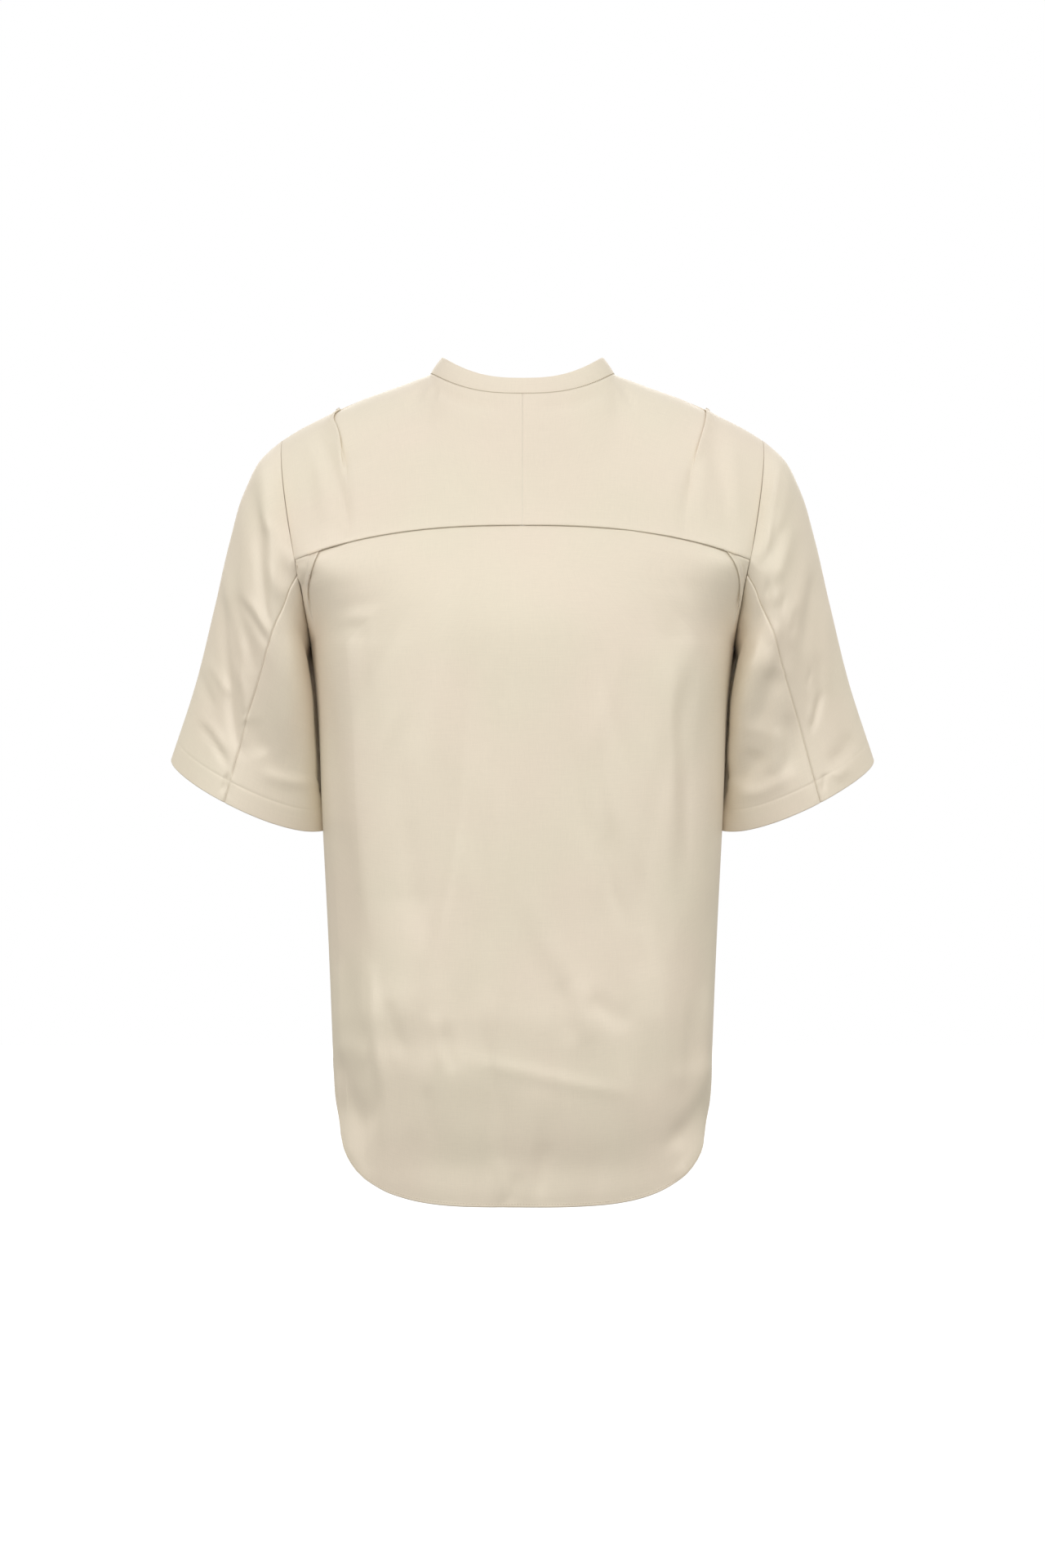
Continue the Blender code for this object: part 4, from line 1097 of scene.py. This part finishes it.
def sleeve_panels(grid, under, seam, creases):
    """The upper and under pieces of a sleeve, from its ring of columns."""
    count = grid.shape[1]
    whole = Panel(np.concatenate([grid, grid, grid], axis=1))
    lay_creases(whole, creases, depth=SLEEVE_CREASE_DEPTH)
    panels = []
    low, high = min(under, seam), max(under, seam)
    for first, last in ((count + high, 2 * count + low), (count + low, count + high)):
        panel = Panel(ring_columns(whole.grid, first, last))
        panel.sew("first", "last", sink=SLEEVE_SEAM_SINK)
        panel.sew("top", sink=SOFT_SINK, reach=SOFT_SINK_REACH)
        panel.hem("bottom", CUFF_HEM, CUFF_HEM_WALL, CUFF_HEM_WAVE, CUFF_HEM_LINE)
        panels.append(panel)
    return panels


def ring_columns(grid, first, last):
    """Some columns of a ring, with finer ones beside the seams at their ends."""
    part = grid[:, first: last + 1].copy()
    for edge, beside in ((0, 1), (-1, -2)):
        part[:, edge] += unit(part[:, beside] - part[:, edge]) * SEAM / 2
    finer = np.array((0, 0.15, 0.32, 0.55, 0.78))
    places = np.concatenate([finer, np.arange(1, last - first), last - first - finer[::-1]])
    whole = np.minimum(places.astype(int), last - first - 1)
    share = (places - whole)[:, None]
    return mix(part[:, whole], part[:, whole + 1], share)


# --- the neckband, the ties and the sewing ---


def band_point(angle, rise):
    """The neckband at an angle round the neck and a share of its rise."""
    seam = neck(angle)
    inward = unit(-seam * (1, 1, 0))
    opening = slit_opening(CORNER * (math.pi - np.abs(angle)) / (math.pi / 2), 0.0)
    up = vectors(np.sign(angle) * opening, 0, SEAM + BAND_RISE * rise)
    return seam + inward * (BAND_LEAN * rise)[..., None] + up


def band_panel():
    """The neckband, all round the neck from one end at centre front to the other."""
    angles = np.linspace(-math.pi, math.pi, 177)
    rises = 1 - np.concatenate([BAND_NEAR_TOP, np.linspace(4.2, 15, 6), BAND_NEAR_SEAM]) / BAND_HEIGHT
    grid = band_point(angles[None, :], rises[:, None] + 0 * angles[None, :])
    panel = Panel(grid, BAND_WALL)
    away, _ = panel.distances("bottom")
    panel.raise_by(BAND_BULGE * np.sin(np.clip(away / BAND_BULGE_REACH, 0, 1) * math.pi))
    panel.raise_by(-BAND_SINK * np.exp(-((away / BAND_SINK_REACH) ** 2)))
    for edge in ("top", "first", "last"):
        panel.round_off(edge, BAND_WALL)
    return panel


def tie_panel():
    """The left tie: a strip of the band and of the front below it, moved out by its own thickness."""
    places = [("band", rise) for rise in np.linspace(TIE_BAND_TOP, 0, 9)]
    places += [("front", row) for row in np.linspace(0, TIE_END, 96)[1:]]
    edge = np.array((0, 0.02, 0.05, 0.1))
    across = np.concatenate([edge, np.linspace(0.18, 0.82, 8), 1 - edge[::-1]])
    angles, columns = np.linspace(0, 0.7, TIE_SAMPLES), np.linspace(0, CORNER, TIE_SAMPLES)
    rows = []
    for number, (kind, place) in enumerate(places):
        near = SLIT_HALF_WIDTH + TIE_INSET + TIE_SPREAD * number / (len(places) - 1)
        wanted = near + TIE_WIDTH * across[::-1]
        if kind == "band":
            reach = band_point(math.pi - angles, np.full(TIE_SAMPLES, place))[:, 0]
            found = np.interp(wanted, reach, angles)
            rows.append(band_point(math.pi - found, np.full(len(found), place)))
        else:
            reach = front_surface(columns, place)[:, 0]
            rows.append(front_surface(np.interp(wanted, reach, columns), place))
    panel = Panel(np.array(rows), TIE_WALL)
    panel.raise_by(np.full(panel.wall.shape, SEAM + TIE_WALL))
    return panel


def finish_tie(panel, seed):
    """Gives a tie its small waves and rounds its edges off."""
    across, down = panel.distances("first")
    rng = np.random.default_rng(seed)
    wave = sum(
        rng.uniform(*TIE_WAVE_HEIGHTS)
        * np.sin(down / rng.uniform(*TIE_WAVE_LENGTHS) + across / TIE_WAVE_SLANT + rng.uniform(0, 6))
        for _ in range(TIE_WAVES)
    )
    panel.raise_by((wave + 0.5) * ease(down / TIE_WAVES_FROM))
    for edge in ("top", "bottom", "first", "last"):
        panel.round_off(edge, TIE_WALL)
    return panel


def stitch_row(name, line, out, stitches, thread):
    """A row of stitches along a line: small bars that lie half sunk in the cloth."""
    pitch, length, radius = stitches
    places = way_along(line)
    middles = np.arange(pitch / 2, places[-1] - pitch / 2, pitch)

    def at(where, values):
        return np.stack([np.interp(where, places, values[:, k]) for k in range(3)], -1)

    spot = at(middles, line)
    along = unit(at(middles + STITCH_AHEAD, line) - spot)
    up = unit(at(middles, out))
    aside = unit(np.cross(along, up))
    points = []
    for place, size in STITCH_RINGS:
        for turn in np.arange(STITCH_SIDES) / STITCH_SIDES * 2 * math.pi:
            points.append(
                spot + along * place * length + aside * math.cos(turn) * radius * size
                + up * (math.sin(turn) * radius * size + radius * STITCH_PROUD)
            )
    count = len(points)
    faces = []
    for ring in range(0, count - STITCH_SIDES, STITCH_SIDES):
        for k in range(STITCH_SIDES):
            a, b = ring + k, ring + (k + 1) % STITCH_SIDES
            faces.append((a, b, b + STITCH_SIDES, a + STITCH_SIDES))
    faces += [tuple(range(STITCH_SIDES))[::-1], tuple(range(count - STITCH_SIDES, count))]
    points = np.stack(points, 1)
    everything = [tuple(p + count * k for p in face) for k in range(len(spot)) for face in faces]
    mesh = bpy.data.meshes.new(name)
    mesh.from_pydata((points.reshape(-1, 3) * MILLIMETRE).tolist(), [], everything)
    mesh.polygons.foreach_set("use_smooth", [True] * len(mesh.polygons))
    mesh.materials.append(thread)
    row = placed(name, mesh)
    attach(row, "root")
    return row


# --- materials ---


def node(tree, kind, **settings):
    """A new shader node. A setting is an input's value, a socket to link to an input, or a property."""
    made = tree.nodes.new(kind)
    for name, value in settings.items():
        if name not in made.inputs:
            setattr(made, name, value)
        elif isinstance(value, bpy.types.NodeSocket):
            tree.links.new(value, made.inputs[name])
        else:
            made.inputs[name].default_value = value
    return made


def colour_ramp(tree, level, first, last, between=()):
    """The colour that a level has on a ramp. Each stop is a place and a colour."""
    made = node(tree, "ShaderNodeValToRGB", Fac=level)
    stops = made.color_ramp.elements
    for stop, (place, colour) in zip(stops, (first, last)):
        stop.position, stop.color = place, (*colour, 1)
    for place, colour in between:
        stops.new(place).color = (*colour, 1)
    return made.outputs["Color"]


def new_material(name):
    """A material, its node tree and its shader."""
    material = bpy.data.materials.new(name)
    material.use_nodes = True
    return material, material.node_tree, material.node_tree.nodes["Principled BSDF"]


def set_inputs(shader, **values):
    """Sets a shader's inputs, whose names are written with _ for a space."""
    for name, value in values.items():
        shader.inputs[name.replace("_", " ")].default_value = value


def satin(name, colour, roughness, metallic, sheen, weave_strength):
    """Satin: a soft gloss, a fine weave with slubs that cross it, and a slow change of tone."""
    material, tree, shader = new_material(name)
    flat = node(tree, "ShaderNodeUVMap", uv_map="flat").outputs["UV"]
    place = node(tree, "ShaderNodeTexCoord").outputs["Object"]

    def stretched_noise(scale, detail):
        spot = node(tree, "ShaderNodeMapping", Vector=flat, Scale=(*scale, 1)).outputs["Vector"]
        noise = node(tree, "ShaderNodeTexNoise", Vector=spot, Scale=1.0, Detail=detail, Roughness=0.6)
        return noise.outputs["Fac"]

    def combined(first, second, operation):
        made = node(tree, "ShaderNodeMath", operation=operation)
        for socket, value in zip(made.inputs, (first, second)):
            if isinstance(value, float):
                socket.default_value = value
            else:
                tree.links.new(value, socket)
        return made.outputs[0]

    def blend(first, share, second, other_share):
        return combined(combined(first, share, "MULTIPLY"), combined(second, other_share, "MULTIPLY"), "ADD")

    threads = combined(stretched_noise((2400, 110), 2.0), stretched_noise((90, 2100), 2.0), "ADD")
    slubs = combined(stretched_noise((1100, 28), 1.0), stretched_noise((24, 1000), 1.0), "ADD")
    weave = blend(threads, 0.34, slubs, 0.16)
    tone = node(tree, "ShaderNodeTexNoise", Vector=place, Scale=7.0, Detail=3.0, Roughness=0.55)
    tint = node(tree, "ShaderNodeTexNoise", Vector=place, Scale=11.0, Detail=1.0, Roughness=0.5)
    dark, light = [c * 0.955 for c in colour], [min(c * 1.03, 1) for c in colour]
    tones = colour_ramp(tree, blend(weave, 0.75, tone.outputs["Fac"], 0.25), (0.38, dark), (0.62, light))
    rosy, green = (1.0, 0.992, 0.992), (0.985, 1.0, 0.985)
    hues = colour_ramp(tree, tint.outputs["Fac"], (0.35, rosy), (0.65, green))
    # A mix node's sockets share their names, so its factor, two colours and result go by number
    colours = node(tree, "ShaderNodeMix", data_type="RGBA", blend_type="MULTIPLY")
    colours.inputs[0].default_value = 1.0
    tree.links.new(tones, colours.inputs[6])
    tree.links.new(hues, colours.inputs[7])
    tree.links.new(colours.outputs[2], shader.inputs["Base Color"])
    bump = node(tree, "ShaderNodeBump", Strength=weave_strength, Distance=0.00015, Height=weave)
    tree.links.new(bump.outputs["Normal"], shader.inputs["Normal"])
    set_inputs(
        shader, Roughness=roughness, Metallic=metallic, Specular_IOR_Level=0.9, Anisotropic=0.35,
        Sheen_Weight=sheen, Sheen_Roughness=0.35, Sheen_Tint=(1.0, 0.96, 0.88, 1),
    )
    return material


def plain_thread(name, colour):
    """Sewing thread, with the twist's fine variation."""
    material, tree, shader = new_material(name)
    place = node(tree, "ShaderNodeTexCoord").outputs["Object"]
    twist = node(tree, "ShaderNodeTexNoise", Vector=place, Scale=900.0, Detail=2.0)
    tones = colour_ramp(tree, twist.outputs["Fac"], (0, [c * 0.8 for c in colour]), (1, colour))
    tree.links.new(tones, shader.inputs["Base Color"])
    set_inputs(shader, Roughness=0.6)
    return material


YOKES = ["yoke_left_cloth", "yoke_right_cloth"]
SATIN = satin(
    "champagne_satin", (0.80, 0.715, 0.592), roughness=0.46, metallic=0.1, sheen=0.08, weave_strength=0.5,
)
REVERSE = satin(
    "satin_reverse", (0.76, 0.68, 0.57), roughness=0.6, metallic=0.1, sheen=0.1, weave_strength=0.35,
)
THREAD = plain_thread("dark_thread", (0.30, 0.235, 0.125))
TONAL_THREAD = plain_thread("tonal_thread", (0.60, 0.52, 0.40))


# --- the garment ---

scattered = {name: random_creases(*row) for name, row in SCATTERED.items()}
YOKE_LEFT = yoke_panel(
    yoke_grid(TUCK_LEFT), YOKE_LEFT_CREASES + scattered["yoke left"], "first", "last",
)
YOKE_RIGHT = yoke_panel(
    mirrored(yoke_grid(TUCK_RIGHT)), YOKE_RIGHT_CREASES + scattered["yoke right"], "last", "first",
)

BACK = Panel(back_grid())
lay_creases(BACK, BACK_CREASES + scattered["back"] + scattered["tail"])
out, height = np.abs(BACK.grid[..., 0]), BACK.grid[..., 2]
full = BLADE_FULLNESS * np.exp(-(((out - BLADE_OUT) / BLADE_HALF_WIDTH) ** 2))
reach = np.where(height > BLADE_HEIGHT, BLADE_REACH_UP, BLADE_REACH_DOWN)
full *= np.exp(-(((height - BLADE_HEIGHT) / reach) ** 2))
for edge in ("first", "last"):
    full *= ease(BACK.distances(edge)[0] / BLADE_FROM_EDGE)
lean = np.maximum((TAIL_LEANS_FROM - height) / TAIL_LEAN_REACH, 0) ** TAIL_LEAN_BEND * TAIL_LEAN
BACK.grid[..., 1] += full
BACK.grid[..., 1] -= lean * mix(TAIL_LEAN_AT_SIDE, 1, ease((TAIL_LEANS_TO - out) / TAIL_LEAN_FADE))
BACK.out = grid_out(BACK.grid)
BACK.sew("top", "first", "last")
BACK.hem("bottom", TAIL_HEM, HEM_WALL, TAIL_HEM_WAVE, TAIL_HEM_LINE)
BACK.face_without(2, np.s_[0])

front_base = front_grid()
FRONT = []
for grid, side_seam, centre_column in ((front_base, "first", -1), (mirrored(front_base), "last", 0)):
    panel = Panel(grid)
    lay_creases(panel, FRONT_CREASES + scattered["front"], side=-1)
    panel.sew("top", side_seam)
    panel.hem("bottom", TAIL_HEM, HEM_WALL, TAIL_HEM_WAVE, TAIL_HEM_LINE)
    panel.face_without(0, np.s_[:, centre_column])
    panel.face_without(1, on_shoulder(grid))
    FRONT.append(panel)
closed = np.abs(FRONT[0].grid[:, -1, 0]) < CLOSED_WITHIN
for part in ("grid", "out", "wall"):
    getattr(FRONT[1], part)[closed, 0] = getattr(FRONT[0], part)[closed, -1]

sleeve_base, under_at, seam_at = sleeve_grid()
LEFT_SLEEVE = sleeve_panels(
    sleeve_base, under_at, seam_at, SLEEVE_LEFT_CREASES + scattered["sleeve left"],
)
last_column = sleeve_base.shape[1] - 1
RIGHT_SLEEVE = sleeve_panels(
    mirrored(sleeve_base), last_column - under_at, last_column - seam_at,
    SLEEVE_RIGHT_CREASES + scattered["sleeve right"],
)
BAND = band_panel()
tie_left = tie_panel()
tie_right = Panel(mirrored(tie_left.grid), TIE_WALL)

pieces = {
    f"{node_name}_cloth": cloth(f"{node_name}_cloth", panels, node_name)
    for node_name, panels in {
        "yoke_left": [YOKE_LEFT],
        "yoke_right": [YOKE_RIGHT],
        "back_panel": [BACK],
        "front_panel": FRONT,
        "sleeve_upper_left": LEFT_SLEEVE[:1],
        "sleeve_under_left": LEFT_SLEEVE[1:],
        "sleeve_upper_right": RIGHT_SLEEVE[:1],
        "sleeve_under_right": RIGHT_SLEEVE[1:],
        "neckband": [BAND],
        "tie_left": [finish_tie(tie_left, seed=51)],
        "tie_right": [finish_tie(tie_right, seed=52)],
    }.items()
}

sewing = {name: [] for name in ("neckband_cloth", "back_panel_cloth", "front_panel_cloth", *YOKES)}


def sew_row(whole, name, panel, row, stitches, thread, half_width=math.inf):
    """Sews a row of stitches along a row of a panel, as a part of a whole piece."""
    here = np.abs(panel.grid[row, :, 0]) < half_width
    sewing[whole].append(stitch_row(name, panel.grid[row, here], panel.out[row, here], stitches, thread))


sew_row("neckband_cloth", "neckband_stitches", BAND, BAND_STITCH_ROW, BAND_STITCHES, THREAD)
for side, panel in (("left", YOKE_LEFT), ("right", YOKE_RIGHT)):
    sew_row(
        f"yoke_{side}_cloth", f"yoke_{side}_stitches", panel, YOKE_STITCH_ROW, YOKE_STITCHES, THREAD,
        STITCHED_HALF_WIDTH,
    )
for name, panel in (("back_panel", BACK), ("front_left", FRONT[0]), ("front_right", FRONT[1])):
    whole = "back_panel_cloth" if panel is BACK else "front_panel_cloth"
    sew_row(whole, f"{name}_hem_stitches", panel, HEM_STITCH_ROW, HEM_STITCHES, TONAL_THREAD)

# --- the camera, the light and the floor ---

camera = placed("camera", bpy.data.cameras.new("camera"))
camera.location = (0, VIEW_DISTANCE * MILLIMETRE, VIEW_HEIGHT * MILLIMETRE)
camera.rotation_euler = (math.pi / 2, 0, math.pi)
camera.data.sensor_width = SENSOR
camera.data.lens = SENSOR * VIEW_DISTANCE / VIEW_EXTENT
camera.data.clip_end = 50
bpy.context.scene.camera = camera


def area_light(name, place, target, size, power):
    """A rectangular light at a place, turned to a target. Its power is in watts."""
    light = placed(name, bpy.data.lights.new(name, "AREA"))
    light.location = place
    light.rotation_euler = (Vector(target) - Vector(place)).to_track_quat("-Z", "Y").to_euler()
    light.data.shape = "RECTANGLE"
    light.data.size, light.data.size_y = size
    light.data.energy = power


# Name, place, target, size and power
area_light("key", (0.0, 4.2, 0.6), (0, 0, -0.3), (7.0, 3.0), 55)
area_light("side_left", (2.6, 2.0, 0.3), (0.2, 0, -0.25), (1.6, 1.6), 19)
area_light("side_right", (-2.6, 2.0, 0.3), (-0.2, 0, -0.25), (1.6, 1.6), 16)
area_light("fill_front", (0, -3.6, 1.2), (0, 0, -0.4), (3.0, 2.4), 40)

world = bpy.data.worlds.new("studio")
bpy.context.scene.world = world
world.use_nodes = True
tree = world.node_tree
tree.nodes.clear()
upward = node(tree, "ShaderNodeTexCoord").outputs["Generated"]
upward = node(tree, "ShaderNodeSeparateXYZ", Vector=upward).outputs["Z"]
height_share = node(tree, "ShaderNodeMapRange", Value=upward, **{"From Min": -1, "From Max": 1})
sky = colour_ramp(
    tree, height_share.outputs["Result"], (0, (0.08, 0.0736, 0.0576)), (1, (1, 1, 1)),
    [
        (0.3, (0.34, 0.3332, 0.323)), (0.45, (0.42, 0.3927, 0.3234)),
        (0.52, (0.9, 0.8595, 0.765)), (0.75, (0.68, 0.6664, 0.646)),
    ],
)
ambient = node(tree, "ShaderNodeBackground", Color=sky, Strength=1.0)
seen = node(tree, "ShaderNodeBackground", Color=(1, 1, 1, 1), Strength=1.0)
by_camera = node(tree, "ShaderNodeLightPath").outputs["Is Camera Ray"]
choose = node(tree, "ShaderNodeMixShader", Fac=by_camera)
tree.links.new(ambient.outputs[0], choose.inputs[1])
tree.links.new(seen.outputs[0], choose.inputs[2])
node(tree, "ShaderNodeOutputWorld", Surface=choose.outputs[0])
bpy.context.scene.view_settings.view_transform = "Standard"

floor_mesh = bpy.data.meshes.new("floor")
floor_corners = [
    (across * FLOOR_HALF_WIDTH, ahead * FLOOR_HALF_WIDTH, FLOOR_HEIGHT)
    for across, ahead in ((-1, -1), (1, -1), (1, 1), (-1, 1))
]
floor_mesh.from_pydata(floor_corners, [], [(0, 1, 2, 3)])
floor = placed("floor", floor_mesh)
floor.visible_diffuse = floor.visible_glossy = floor.visible_shadow = False
pale, _, pale_shader = new_material("pale_floor")
set_inputs(
    pale_shader, Base_Color=(0.4, 0.4, 0.4, 1), Roughness=1.0, Specular_IOR_Level=0.0,
    Emission_Color=(1, 1, 1, 1), Emission_Strength=0.82,
)
floor.data.materials.append(pale)
